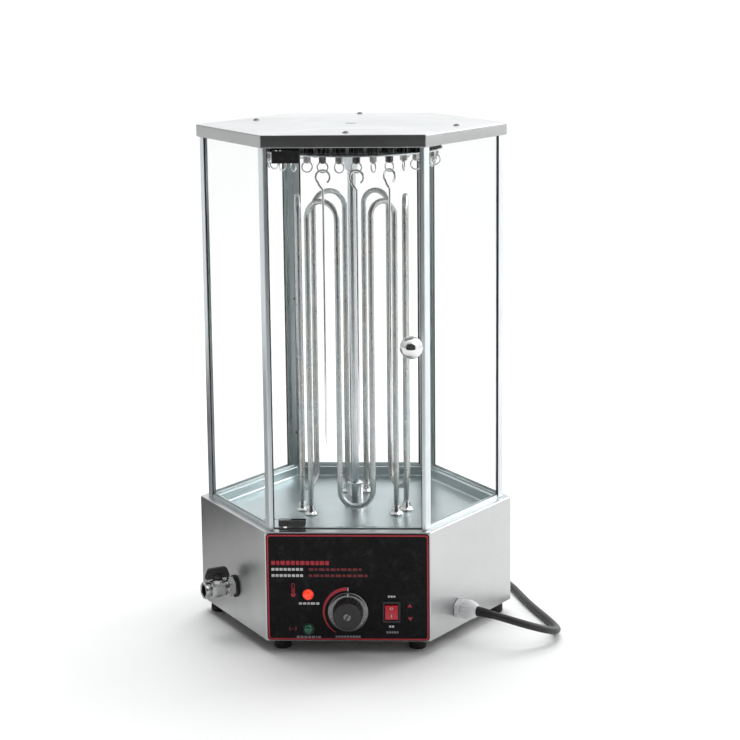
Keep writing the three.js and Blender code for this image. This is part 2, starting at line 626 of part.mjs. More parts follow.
function door() {
  const back = -DOOR_FRONT + DOOR_GLASS;
  const notch = (low, high) => {
    return boxBetween([-(DOOR_HALF_WIDTH + 1), -DOOR_FRONT - 1, low], [NOTCH_EDGE, back + 1, high]);
  };
  const pane = cut(
    boxBetween([-DOOR_HALF_WIDTH, -DOOR_FRONT, DOOR_LOW], [DOOR_HALF_WIDTH, back, DOOR_HIGH]),
    notch(DOOR_LOW - 1, LOW_CLIP_TOP + GAP),
    notch(HIGH_CLIP_LOW - GAP, DOOR_HIGH + 1),
    moved(rod(4, -8, 8).rotate([90, 0, 0]), BALL_X, -DOOR_FRONT, BALL_HEIGHT),
  );
  place('door_glass', pane, glass());

  const glassSlot = (low, high) => {
    return boxBetween([NOTCH_EDGE - 0.4, -DOOR_FRONT - GAP, low], [-40, back + GAP, high]);
  };
  const clipBlock = (low, high) => boxBetween([CLIP_LEFT, -CLIP_FRONT, low], [CLIP_RIGHT, -CLIP_BACK, high]);
  const atPin = (solid) => solid.translate([HINGE_X, HINGE_Y, 0]);
  const bottomClip = cut(
    clipBlock(151.5, LOW_CLIP_TOP),
    glassSlot(DOOR_LOW - 1, LOW_CLIP_TOP + 2),
    atPin(rod(PIN_RADIUS + GAP, 149, 157)),
  );
  place('hinge_clip_bottom', bottomClip, plastic(0x0c0c0d, 0.5));
  const topClip = cut(
    clipBlock(HIGH_CLIP_LOW, 582),
    glassSlot(HIGH_CLIP_LOW - 7, DOOR_HIGH + GAP),
    atPin(rod(PIN_RADIUS + GAP, 575.5, 583.5)),
  );
  place('hinge_clip_top', topClip, plastic(0x0c0c0d, 0.5));

  const bottomPlate = join(
    clipBlock(BASE_TOP + 1.6, 149), atPin(rod(PIN_RADIUS, 148, 155.5)), atPin(rod(4, 148, 151.2)),
  );
  place('hinge_plate_bottom', bottomPlate, plastic(0x0c0c0d, 0.5));
  const topPlate = join(
    boxBetween([CLIP_LEFT, -(POST_FLAT - 1), 583.2], [CLIP_RIGHT, -CLIP_BACK, COVER_BOTTOM - GAP]),
    atPin(rod(PIN_RADIUS, 577, 584)),
    atPin(rod(4, 582.3, 584)),
  );
  place('hinge_plate_top', topPlate, plastic(0x0c0c0d, 0.5));

  const ball = [];
  for (let i = 0; i < 7; i += 1) {
    const angle = (-64 + 154 * i / 7) * DEG;
    ball.push([KNOB_BALL * Math.cos(angle), BALL_STAND_OFF + KNOB_BALL * Math.sin(angle)]);
  }
  ball.push([0, BALL_STAND_OFF + KNOB_BALL]);
  const knob = turned([
    [0, -8.6], [6.5, -8.6], [6.5, -5.6], [3.6, -5.6], [3.6, 0], [9, 0], [9, 1.6], [5.7, 3.4], ...ball,
  ]).rotate([90, 0, 0]);
  place('door_knob', moved(knob, BALL_X, -(DOOR_FRONT + GAP), BALL_HEIGHT), chrome());
}

function topCover() {
  const inner = COVER_SIDE - 1.4 / Math.cos(30 * DEG);
  const lip = hexPrism(inner - 14, COVER_BOTTOM - 1, COVER_BOTTOM + 5);
  const shell = cut(
    hexPrism(COVER_SIDE, COVER_BOTTOM, COVER_TOP),
    hexPrism(inner, COVER_BOTTOM + 1.4, COVER_TOP - 1.4),
    lip,
  );
  place('top_cover', shell, steel());
  const bearing = turnedRing([
    [COLLAR_BORE, 584], [11, 584], [11, 596.2], [20, 596.2], [20, COVER_TOP - 1.4 - GAP],
    [COLLAR_BORE, COVER_TOP - 1.4 - GAP],
  ]);
  place('top_bearing', bearing, zinc());
  const ringTip = HANGER_CIRCLE - PINION_TIP - 0.5;
  const ring = turnedRing([
    [ringTip - 10, 573.5], [ringTip, 573.5], [ringTip, 583], [ringTip - 8, 583],
    [ringTip - 8, COVER_TOP - 1.4 - GAP], [ringTip - 10, COVER_TOP - 1.4 - GAP],
  ], 36);
  place('gear_ring', ring, zinc());
}

// ---------------------------------------------------------------- skewer wheel
const NUT_LOW = 561;
const PINION_LOW = WHEEL_BOTTOM + WHEEL_SHEET + GAP;
const PINION_HIGH = 581.5;
const EYE_CENTRE = 557.6;
const EYE_RADIUS = 6;
const WIRE = 0.9;
const HOOK_WIRE = 1.4;
const HOOK_RADIUS = 8;

function hangerSpot(index) {
  const angle = FIRST_HANGER + index * HANGER_STEP;
  return new THREE.Vector3(HANGER_CIRCLE * Math.sin(angle), -HANGER_CIRCLE * Math.cos(angle), 0);
}

function gearShape(teeth, moduleSize) {
  const root = moduleSize * (teeth - 2.5) / 2;
  const tip = moduleSize * (teeth + 2) / 2;
  const points = [];
  for (let i = 0; i < teeth; i += 1) {
    for (const [share, radius] of [[0.02, root], [0.24, tip], [0.46, tip], [0.68, root]]) {
      const angle = 2 * Math.PI * (i + share) / teeth;
      points.push(new THREE.Vector2(radius * Math.cos(angle), radius * Math.sin(angle)));
    }
  }
  return new THREE.Shape(points);
}

function skewerWheel() {
  const disc = rod(WHEEL_RADIUS, WHEEL_BOTTOM, WHEEL_BOTTOM + WHEEL_SHEET, 48);
  let wheel = cut(disc, rod(COLLAR_BORE, 560, 580));
  for (let i = 0; i < HANGER_COUNT; i += 1) {
    const index = i > HANGER_COUNT / 2 ? i - HANGER_COUNT : i;
    const spot = hangerSpot(index);
    if (FITTED_HANGERS.includes(index)) {
      wheel = cut(wheel, moved(rod(2.4, 560, 580, 10), spot.x, spot.y, 0));
    } else {
      const stud = join(
        rod(3, NUT_LOW, WHEEL_BOTTOM + 0.5, 5),
        rod(PINION_TIP - 0.6, WHEEL_BOTTOM + 1, PINION_HIGH, 6),
      );
      wheel = join(wheel, moved(stud, spot.x, spot.y, 0));
    }
  }
  place('skewer_wheel', wheel, steel());
  const hubTop = WHEEL_BOTTOM - GAP;
  const hub = turnedRing([
    [COLLAR_BORE, 545], [6.8, 545], [9, 552], [12.5, 564], [12.5, hubTop], [COLLAR_BORE, hubTop],
  ], 20);
  place('wheel_hub', hub, steel());
}

function hangers() {
  FITTED_HANGERS.forEach((index, order) => {
    const spot = hangerSpot(index);
    const pinion = prism(gearShape(PINION_TEETH, GEAR_MODULE), PINION_LOW, PINION_HIGH);
    const eye = new THREE.TorusGeometry(EYE_RADIUS, WIRE, 5, 12);
    eye.rotateX(Math.PI / 2);
    eye.translate(0, 0, EYE_CENTRE);
    const spindle = rod(2, NUT_LOW + 1, PINION_LOW + 1, 10);
    const nut = rod(4.6, NUT_LOW + 2, WHEEL_BOTTOM - GAP, 6);
    const hanger = join(pinion, spindle, nut, toSolid(eye));
    const phase = HANGER_PHASES[order];
    place(`hanger_${order + 1}`, moved(hanger.rotate([0, 0, phase]), spot.x, spot.y, 0), zinc());

    // Skewer: an open hook at the top, a straight wire, and a ground point.
    const hookTop = EYE_CENTRE - EYE_RADIUS + WIRE + HOOK_WIRE + 0.4;
    const centre = new THREE.Vector3(0, 0, hookTop - HOOK_RADIUS);
    const start = centre.clone().add(new THREE.Vector3(
      0, HOOK_RADIUS * Math.sin(-140 * DEG), HOOK_RADIUS * Math.cos(-140 * DEG),
    ));
    const axis = new THREE.Vector3(1, 0, 0);
    const hook = arcStations(centre, start, axis, -275 * DEG, 14);
    const last = hook[hook.length - 1];
    const neck = new THREE.Vector3(0, 0, centre.z - HOOK_RADIUS - 6);
    last.tangent = neck.clone().sub(last.point).normalize();
    const down = new THREE.Vector3(0, 0, -1);
    const wire = [
      ...hook,
      { point: neck, tangent: down.clone() },
      { point: new THREE.Vector3(0, 0, 244), tangent: down.clone() },
    ];
    const shaft = toSolid(sweep(wire, HOOK_WIRE, 6));
    const tip = turned([[0, 232], [HOOK_WIRE * 0.9, 245], [0, 245]], 6);
    const skewer = join(shaft, tip);
    place(`skewer_${order + 1}`, moved(skewer.rotate([0, 0, phase]), spot.x, spot.y, 0), chrome());
  });
}

baseHousing();
feet();
dripTray();
controlPanel();
drainTap();
mainsLead();
drive();
heaters();
cabinet();
door();
topCover();
skewerWheel();
hangers();

export default group;
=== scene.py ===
"""Looks of the vertical rotisserie broiler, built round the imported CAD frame.

Lengths are millimetres about the drive shaft's axis, the way the CAD source has them, and every
finished mesh is moved into the row frame in metres. +Z is up and the door faces -Y.
"""

import random
from math import asin, cos, degrees, pi, radians, sin, sqrt

import bmesh
import bpy
from mathutils import Matrix, Vector


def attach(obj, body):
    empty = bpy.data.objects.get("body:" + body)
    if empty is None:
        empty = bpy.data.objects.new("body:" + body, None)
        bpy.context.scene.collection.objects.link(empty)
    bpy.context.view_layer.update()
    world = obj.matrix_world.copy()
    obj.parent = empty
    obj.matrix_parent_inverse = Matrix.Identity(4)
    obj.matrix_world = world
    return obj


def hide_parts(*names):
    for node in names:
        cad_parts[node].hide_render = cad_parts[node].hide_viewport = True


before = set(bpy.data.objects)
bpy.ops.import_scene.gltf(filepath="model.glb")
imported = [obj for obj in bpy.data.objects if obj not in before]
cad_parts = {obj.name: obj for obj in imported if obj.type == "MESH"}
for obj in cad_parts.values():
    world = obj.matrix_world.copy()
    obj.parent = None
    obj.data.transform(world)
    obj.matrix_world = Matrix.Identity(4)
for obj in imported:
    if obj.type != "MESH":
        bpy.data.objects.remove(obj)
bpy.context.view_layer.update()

# ---------------------------------------------------------------- driving dimensions
MM = 0.001
SQRT3 = sqrt(3)
BASE_SIDE = 190
BASE_FLAT = BASE_SIDE * SQRT3 / 2
BASE_BOTTOM = 16
BASE_TOP = 146
SHEET = 1.5
# The clearance left between parts that don't touch.
GAP = 0.3
COVER_SIDE = 184
COVER_BOTTOM = 585.5
COVER_TOP = 600
POST_SIDE = 180
POST_FLAT = POST_SIDE * SQRT3 / 2
DOOR_FRONT = 157.2
BALL_RADIUS = 13
BALL_STAND_OFF = 23
CENTRE_Y = (DOOR_FRONT + GAP + BALL_STAND_OFF + BALL_RADIUS - BASE_FLAT) / 2
PANEL_FRONT = BASE_FLAT + GAP + 1.5
TRAY_FLOOR = 134.6
TAP_ALONG = 6
LEFT_FACE = -150
RIGHT_FACE = -30


def at(x, y, z):
    return Matrix.Translation((x, y, z))


def spun(angle, axis="Z"):
    return Matrix.Rotation(radians(angle), 4, axis)


ROW = Matrix.Diagonal((MM, MM, MM, 1)) @ at(0, CENTRE_Y, 0)


def row(point):
    return ROW @ Vector(point)


# ---------------------------------------------------------------- camera
def make_camera():
    data = bpy.data.cameras.new("camera")
    data.lens = 101.80
    data.sensor_width = 36
    data.clip_start, data.clip_end = 0.05, 200
    camera = bpy.data.objects.new("camera", data)
    camera.location = row((143.7, -2474.5, 798.9))
    camera.rotation_euler = [radians(a) for a in (78.680, 0.575, 2.754)]
    bpy.context.scene.collection.objects.link(camera)
    bpy.context.scene.camera = camera


make_camera()


# ---------------------------------------------------------------- materials
class Surface:
    """A procedural material on one Principled shader. Its patterns read object coordinates, in metres."""

    def __init__(self, name, **sockets):
        self.material = bpy.data.materials.new(name)
        self.material.use_nodes = True
        self.nodes = self.material.node_tree.nodes
        self.links = self.material.node_tree.links
        self.shader = self.nodes["Principled BSDF"]
        self.coordinates = self.nodes.new("ShaderNodeTexCoord").outputs["Object"]
        for socket, value in sockets.items():
            self.shader.inputs[socket.replace("_", " ")].default_value = value

    def put(self, socket, value):
        if isinstance(value, bpy.types.NodeSocket):
            self.links.new(value, socket)
        else:
            socket.default_value = value

    def stretched(self, stretch):
        mapping = self.nodes.new("ShaderNodeMapping")
        self.put(mapping.inputs["Vector"], self.coordinates)
        self.put(mapping.inputs["Scale"], stretch)
        return mapping.outputs["Vector"]

    def noise(self, scale, detail=3.0, stretch=(1, 1, 1), roughness=0.5, distortion=0.0):
        node = self.nodes.new("ShaderNodeTexNoise")
        self.put(node.inputs["Vector"], self.stretched(stretch))
        self.put(node.inputs["Scale"], scale)
        self.put(node.inputs["Detail"], detail)
        self.put(node.inputs["Roughness"], roughness)
        self.put(node.inputs["Distortion"], distortion)
        return node.outputs["Fac"]

    def cells(self, scale, stretch=(1, 1, 1)):
        node = self.nodes.new("ShaderNodeTexVoronoi")
        self.put(node.inputs["Vector"], self.stretched(stretch))
        self.put(node.inputs["Scale"], scale)
        return node.outputs["Distance"]

    def math(self, operation, a, b=0.0):
        node = self.nodes.new("ShaderNodeMath")
        node.operation = operation
        self.put(node.inputs[0], a)
        self.put(node.inputs[1], b)
        return node.outputs["Value"]

    def span(self, value, low, high, to_low=0.0, to_high=1.0):
        node = self.nodes.new("ShaderNodeMapRange")
        for name, given in (("Value", value), ("From Min", low), ("From Max", high),
                            ("To Min", to_low), ("To Max", to_high)):
            self.put(node.inputs[name], given)
        return node.outputs["Result"]

    def ramp(self, value, *stops):
        node = self.nodes.new("ShaderNodeValToRGB")
        self.put(node.inputs["Fac"], value)
        elements = node.color_ramp.elements
        while len(elements) < len(stops):
            elements.new(0.5)
        for element, (place, colour) in zip(elements, stops):
            element.position = place
            element.color = (*colour, 1)
        return node.outputs["Color"]

    def mix(self, share, a, b, blend="MIX"):
        node = self.nodes.new("ShaderNodeMix")
        node.data_type = "RGBA"
        node.blend_type = blend
        self.put(node.inputs["Factor"], share)
        self.put(node.inputs[6], a if isinstance(a, bpy.types.NodeSocket) else (*a, 1))
        self.put(node.inputs[7], b if isinstance(b, bpy.types.NodeSocket) else (*b, 1))
        return node.outputs[2]

    def colour(self, value):
        self.put(self.shader.inputs["Base Color"], value)

    def gloss(self, value, low, high, to_low, to_high):
        self.put(self.shader.inputs["Roughness"], self.span(value, low, high, to_low, to_high))

    def bump(self, height, distance, strength=1.0):
        node = self.nodes.new("ShaderNodeBump")
        self.put(node.inputs["Height"], height)
        self.put(node.inputs["Distance"], distance)
        self.put(node.inputs["Strength"], strength)
        if self.shader.inputs["Normal"].is_linked:
            self.put(node.inputs["Normal"], self.shader.inputs["Normal"].links[0].from_socket)
        self.put(self.shader.inputs["Normal"], node.outputs["Normal"])


def grey(level, tint=(1, 1, 1)):
    return tuple(level * t for t in tint)


def brushed(name, level, stretch, tint=(1.0, 1.0, 0.985), rough=(0.26, 0.42), cloud=0.12, depth=0.3):
    """Sheet steel with fine brushing, cloudy handling marks and a few brighter rubs."""
    s = Surface(name, Metallic=1.0)
    grain = s.noise(1.0, 4, stretch, 0.6)
    clouds = s.noise(9, 5, (1, 1, 1), 0.62, 0.6)
    fine = s.noise(140, 3, (1, 1, 1), 0.6)
    base = s.ramp(clouds, (0.3, grey(level * (1 - cloud), tint)), (0.5, grey(level, tint)),
                  (0.72, grey(min(1, level * (1 + cloud)), tint)))
    lined = s.mix(s.span(grain, 0.3, 0.7, 0, depth), base, grey(level * 0.72, tint))
    s.colour(s.mix(s.span(fine, 0.6, 0.8, 0, 0.25), lined, grey(min(1, level * 1.2))))
    s.gloss(s.math("ADD", grain, s.math("MULTIPLY", clouds, 0.7)), 0.5, 1.15, *rough)
    s.bump(grain, 0.00006, 0.35)
    s.bump(clouds, 0.0012, 0.05)
    return s.material


def stained_tray():
    """The tray's sheet: blue-grey, cloudy from heat and washing, with fine specks and a few drip rings."""
    s = Surface("tray_steel", Metallic=1.0)
    blotch = s.noise(11, 5, (1, 1, 1), 0.55, 0.4)
    speck = s.noise(420, 4, (1, 1, 1), 0.75)
    rings = s.cells(26)
    base = s.ramp(blotch, (0.3, (0.39, 0.45, 0.46)), (0.5, (0.47, 0.54, 0.55)), (0.72, (0.55, 0.62, 0.63)))
    worn = s.mix(s.span(speck, 0.52, 0.75, 0, 0.45), base, (0.36, 0.42, 0.43))
    s.colour(s.mix(s.span(rings, 0.0, 0.1, 0.18, 0), worn, (0.7, 0.77, 0.78)))
    s.gloss(blotch, 0.3, 0.7, 0.28, 0.42)
    s.bump(blotch, 0.0003, 0.05)
    s.bump(speck, 0.0001, 0.12)
    return s.material


def bright_chrome(name="chrome", level=0.82, rough=(0.05, 0.14), tint=(1, 1, 1)):
    s = Surface(name, Metallic=1.0)
    haze = s.noise(60, 4, (1, 1, 1), 0.6)
    fine = s.noise(900, 2)
    s.colour(s.ramp(haze, (0.35, grey(level * 0.9, tint)), (0.65, grey(level, tint))))
    s.gloss(haze, 0.35, 0.7, *rough)
    s.bump(fine, 0.00002, 0.2)
    return s.material


def sheath():
    """Heater tube that has been hot: grey steel with straw and blue-grey bands along its length."""
    s = Surface("heater_sheath", Metallic=1.0)
    bands = s.noise(14, 4, (0.35, 0.35, 1.0), 0.6, 0.4)
    scuff = s.noise(260, 4, (1, 1, 0.4), 0.65)
    base = s.ramp(bands, (0.25, (0.37, 0.39, 0.40)), (0.42, (0.54, 0.54, 0.51)),
                  (0.56, (0.47, 0.51, 0.52)), (0.75, (0.65, 0.66, 0.65)))
    s.colour(s.mix(s.span(scuff, 0.5, 0.75, 0, 0.4), base, (0.28, 0.28, 0.27)))
    s.gloss(scuff, 0.3, 0.75, 0.22, 0.42)
    s.bump(scuff, 0.00015, 0.25)
    return s.material


def glass():
    """Thin clear panes: almost nothing seen square on, and a soft reflection at a grazing angle."""
    s = Surface("glass", Roughness=0.03, IOR=1.45)
    smear = s.noise(14, 5, (1, 1, 0.5), 0.6, 0.8)
    s.colour(s.ramp(smear, (0.3, (0.60, 0.68, 0.67)), (0.7, (0.74, 0.80, 0.79))))
    weight = s.nodes.new("ShaderNodeLayerWeight")
    weight.inputs["Blend"].default_value = 0.22
    edge = s.span(weight.outputs["Facing"], 0.0, 1.0, 0.008, 0.11)
    s.put(s.shader.inputs["Alpha"], s.math("ADD", edge, s.span(smear, 0.55, 0.8, 0, 0.01)))
    s.gloss(smear, 0.4, 0.8, 0.02, 0.09)
    return s.material


def glass_edge():
    s = Surface("glass_edge", IOR=1.5, Alpha=0.72)
    run = s.noise(30, 3, (1, 1, 0.3))
    s.colour(s.ramp(run, (0.3, (0.10, 0.16, 0.15)), (0.55, (0.30, 0.38, 0.37)), (0.75, (0.62, 0.70, 0.69))))
    s.gloss(run, 0.3, 0.7, 0.08, 0.22)
    return s.material


def moulded(name, colour, rough=(0.35, 0.5), grain=0.00012, scale=900, wear=(1.35, 0.8), **sockets):
    """Moulded plastic, paint or rubber: a fine surface grain and slightly uneven colour."""
    s = Surface(name, **sockets)
    texture = s.noise(scale, 3, (1, 1, 1), 0.6)
    cloud = s.noise(22, 4, (1, 1, 1), 0.6, 0.3)
    s.colour(s.mix(s.span(texture, 0.35, 0.75, 0, 0.5),
                   s.ramp(cloud, (0.3, grey(wear[1], colour)), (0.7, grey(1.0, colour))),
                   tuple(min(1, wear[0] * c) for c in colour)))
    s.gloss(s.math("ADD", texture, cloud), 0.6, 1.4, *rough)
    s.bump(texture, grain, 0.3)
    return s


def panel_film():
    """The panel's black film, with the fine mottled grain of embossed polycarbonate."""
    s = Surface("panel_film", Specular_IOR_Level=0.10)
    grain = s.noise(330, 4, (1, 1, 1), 0.7)
    mottle = s.noise(75, 5, (1, 1, 1), 0.7, 0.5)
    base = s.ramp(mottle, (0.32, (0.0035, 0.0035, 0.004)), (0.55, (0.008, 0.008, 0.009)),
                  (0.8, (0.026, 0.027, 0.030)))
    s.colour(s.mix(s.span(grain, 0.52, 0.75, 0, 0.5), base, (0.030, 0.031, 0.035)))
    s.gloss(grain, 0.3, 0.7, 0.3, 0.55)
    s.bump(grain, 0.00025, 0.35)
    s.bump(mottle, 0.0006, 0.15)
    return s.material


STEEL_WALL = brushed("steel_wall", 0.56, (9, 9, 2600), (0.985, 1.0, 1.0), (0.3, 0.42), 0.06, 0.22)
STEEL_TOP = brushed("steel_top", 0.68, (9, 2200, 9), (0.985, 1.0, 1.0), (0.26, 0.38), 0.16, 0.25)
# The cover's sides take a darker copy of its steel than the top: painted shade on the sides.
STEEL_RIM_PAINTED_SHADE = brushed("steel_rim_painted_shade", 0.40, (9, 9, 2600), (0.985, 1.0, 1.0), (0.26, 0.38), 0.08, 0.25)
STEEL_LEDGE = brushed("steel_ledge", 0.58, (9, 2200, 9), (0.97, 1.0, 1.0), (0.26, 0.38), 0.1, 0.25)
STEEL_POST = brushed("steel_post", 0.74, (500, 500, 5), (0.94, 1.0, 1.02), (0.34, 0.5), 0.10, 0.3)
TRAY = stained_tray()
CHROME = bright_chrome()
TAP_CHROME = bright_chrome("tap_chrome", 0.52, (0.16, 0.3))
SKIRT_CHROME = bright_chrome("skirt_chrome", 0.18, (0.14, 0.26))
SHEATH = sheath()
GLASS = glass()
GLASS_EDGE = glass_edge()
PANEL = panel_film()
ZINC = brushed("zinc", 0.48, (40, 40, 40), (1, 1, 0.97), (0.3, 0.5), 0.2)
DARK_ZINC = brushed("dark_zinc", 0.10, (60, 60, 60), (1, 1, 0.97), (0.3, 0.5), 0.25)
SHAFT_STEEL = brushed("shaft_steel", 0.70, (500, 500, 6), (0.95, 1.0, 1.02), (0.16, 0.28), 0.12, 0.4)
SCREW = brushed("screw", 0.22, (90, 90, 90), (1, 1, 0.97), (0.25, 0.45), 0.25)
BLACK = moulded("black_plastic", (0.012, 0.012, 0.013), (0.28, 0.44)).material
HINGE = moulded("hinge_black", (0.009, 0.009, 0.010), (0.32, 0.5)).material
GEAR_RING = moulded("gear_ring_pale", (0.80, 0.81, 0.80), (0.3, 0.45), wear=(1.1, 0.93)).material
NYLON = moulded("white_nylon", (0.74, 0.75, 0.76), (0.3, 0.45), wear=(1.12, 0.93)).material
RUBBER = moulded("rubber", (0.012, 0.012, 0.012), (0.62, 0.82), 0.0003).material
SHEATHING = moulded("cord_sheath", (0.014, 0.014, 0.015), (0.4, 0.55), 0.0002, 500).material
ROCKER = moulded("red_rocker", (0.62, 0.012, 0.035), (0.16, 0.28), 0.00004).material
INK_RED = moulded("ink_red", (0.46, 0.010, 0.028), (0.35, 0.5), 0.00005).material
INK_DIM = moulded("ink_dim", (0.17, 0.008, 0.014), (0.35, 0.5), 0.00005).material
INK_WHITE = moulded("ink_white", (0.60, 0.60, 0.61), (0.35, 0.5), 0.00005, wear=(1.2, 0.85)).material
INK_GREY = moulded("ink_grey", (0.23, 0.23, 0.24), (0.35, 0.5), 0.00005).material
# Near-black for the inside of the tap's outlet and the cover screws' slots: painted shade in these recesses.
HOLE_PAINTED_SHADE = moulded("painted_shade_inside", (0.006, 0.006, 0.006), (0.6, 0.8)).material


def lens(name, colour, glow):
    s = moulded(name, colour, (0.1, 0.2), 0.00003, 600, IOR=1.5, Coat_Weight=0.6, Coat_Roughness=0.05)
    ribs = s.cells(520)
    s.bump(ribs, 0.0004, 0.35)
    if glow:
        s.shader.inputs["Emission Color"].default_value = (*glow[0], 1)
        s.put(s.shader.inputs["Emission Strength"], s.span(ribs, 0.1, 0.7, glow[1], glow[1] * 0.35))
    return s.material


RED_LENS = lens("red_lens", (0.85, 0.03, 0.01), ((1.0, 0.06, 0.02), 1.3))
GREEN_LENS = lens("green_lens", (0.006, 0.10, 0.055), None)


# ---------------------------------------------------------------- mesh building
def spoke(radius, angle, x=0, y=0):
    """The point of a circle round (x, y) at this angle, in degrees."""
    a = radians(angle)
    return x + radius * cos(a), y + radius * sin(a)


def ring_faces(bm, a, b, material=0):
    """Joins two rings of vertices with quads; a ring of one vertex makes a fan."""
    n = max(len(a), len(b))
    for i in range(n):
        j = (i + 1) % n
        corners = [a[i % len(a)], a[j % len(a)], b[j % len(b)], b[i % len(b)]]
        unique = list(dict.fromkeys(corners))
        if len(unique) > 2:
            bm.faces.new(unique).material_index = material


def loft(bm, rings, closed=False, caps=True, material=0):
    """rings are lists of points. closed joins the last ring to the first; caps fills the two ends."""
    made = [[bm.verts.new(p) for p in ring] for ring in rings]
    for a, b in zip(made, made[1:]):
        ring_faces(bm, a, b, material)
    if closed:
        ring_faces(bm, made[-1], made[0], material)
    elif caps:
        for ring in (made[0], made[-1]):
            if len(ring) > 2:
                bm.faces.new(ring).material_index = material


def fill(bm, *loops):
    """A flat sheet with holes: the first loop is its outline. Returns the vertices of each loop."""
    made, edges = [], []
    for points in loops:
        verts = [bm.verts.new(p) for p in points]
        made.append(verts)
        edges += [bm.edges.new(pair) for pair in zip(verts, verts[1:] + verts[:1])]
    bmesh.ops.triangle_fill(bm, edges=edges, use_beauty=True)
    return made


def circle(radius, z, sides):
    if radius < 1e-6:
        return [Vector((0, 0, z))]
    return [Vector((*spoke(radius, 360 * i / sides), z)) for i in range(sides)]


def lathe(bm, profile, sides, closed=False, matrix=None):
    rings = [circle(radius, z, sides) for radius, z in profile]
    if matrix is not None:
        rings = [[matrix @ p for p in ring] for ring in rings]
    loft(bm, rings, closed)


def hexagon(radius, z, corner, steps):
    """A hexagon of this corner radius from the axis, with its corners rounded."""
    inset = corner / cos(radians(30))
    return [Vector((*spoke(corner, 60 * k - 30 + 60 * s / steps, *spoke(radius - inset, 60 * k)), z))
            for k in range(6) for s in range(steps + 1)]


def hex_body(bm, profile, closed=False):
    """profile is a list of (radius to the corner, height, corner rounding)."""
    rings = []
    for radius, z, corner in profile:
        rings.append([Vector((0, 0, z))] if radius == 0 else hexagon(radius, z, corner, 4))
    loft(bm, rings, closed)


def nut(bm, matrix, corner, profile):
    loft(bm, [[matrix @ p for p in hexagon(radius, z, corner, 2)] for radius, z in profile])


def prism(bm, outline, low, high, matrix=None, material=0):
    rings = [[Vector((x, y, z)) for x, y in outline] for z in (low, high)]
    if matrix is not None:
        rings = [[matrix @ p for p in ring] for ring in rings]
    loft(bm, rings, material=material)


def upright(outline, distance):
    """An outline of x and z, stood up at this distance in front of the axis."""
    return [Vector((x, -distance, z)) for x, z in outline]


def block(bm, low, high, matrix=None, material=0):
    outline = [(low[0], low[1]), (high[0], low[1]), (high[0], high[1]), (low[0], high[1])]
    prism(bm, outline, low[2], high[2], matrix, material)


def rounded(width, height, radius, steps=4, centre=(0, 0)):
    points = []
    for k, (side, end) in enumerate(((1, 1), (-1, 1), (-1, -1), (1, -1))):
        corner = centre[0] + side * (width / 2 - radius), centre[1] + end * (height / 2 - radius)
        points += [spoke(radius, 90 * k + 90 * s / steps, *corner) for s in range(steps + 1)]
    return points


def smooth_path(points, per):
    """A centripetal Catmull-Rom line through the points."""
    p = [Vector(q) for q in points]
    p = [2 * p[0] - p[1], *p, 2 * p[-1] - p[-2]]
    line = []
    for a, b, c, d in zip(p, p[1:], p[2:], p[3:]):
        t1 = (b - a).length ** 0.5
        t2 = t1 + (c - b).length ** 0.5
        t3 = t2 + (d - c).length ** 0.5
        for k in range(per):
            t = t1 + (t2 - t1) * k / per
            a1 = a * (t1 - t) / t1 + b * t / t1
            a2 = b * (t2 - t) / (t2 - t1) + c * (t - t1) / (t2 - t1)
            a3 = c * (t3 - t) / (t3 - t2) + d * (t - t2) / (t3 - t2)
            b1 = a1 * (t2 - t) / t2 + a2 * t / t2
            b2 = a2 * (t3 - t) / (t3 - t1) + a3 * (t - t1) / (t3 - t1)
            line.append(b1 * (t2 - t) / (t2 - t1) + b2 * (t - t1) / (t2 - t1))
    return [*line, p[-2]]


def sweep(bm, line, radius, sides, closed=False):
    """A tube along the line. radius is a number, or a function of the share of the line's length."""
    n = len(line)
    tangents = []
    for i in range(n):
        before = line[(i - 1) % n] if closed or i else line[0]
        after = line[(i + 1) % n] if closed or i < n - 1 else line[-1]
        tangents.append((after - before).normalized())
    side = tangents[0].orthogonal().normalized()
    rings, last = [], tangents[0]
    for i, (point, tangent) in enumerate(zip(line, tangents)):
        side.rotate(last.rotation_difference(tangent))
        side = (side - tangent * side.dot(tangent)).normalized()
        last = tangent
        up = tangent.cross(side)
        r = radius(i / (n - 1)) if callable(radius) else radius
        rings.append([point + r * (side * cos(2 * pi * k / sides) + up * sin(2 * pi * k / sides))
                      for k in range(sides)])
    loft(bm, rings, closed)


def arc(centre, radius, start, end, steps, plane):
    """Points of an arc in degrees. plane is a pair of unit vectors."""
    u, v = (Vector(a) for a in plane)
    return [Vector(centre) + radius * (u * cos(a) + v * sin(a))
            for a in (radians(start + (end - start) * i / steps) for i in range(steps + 1))]


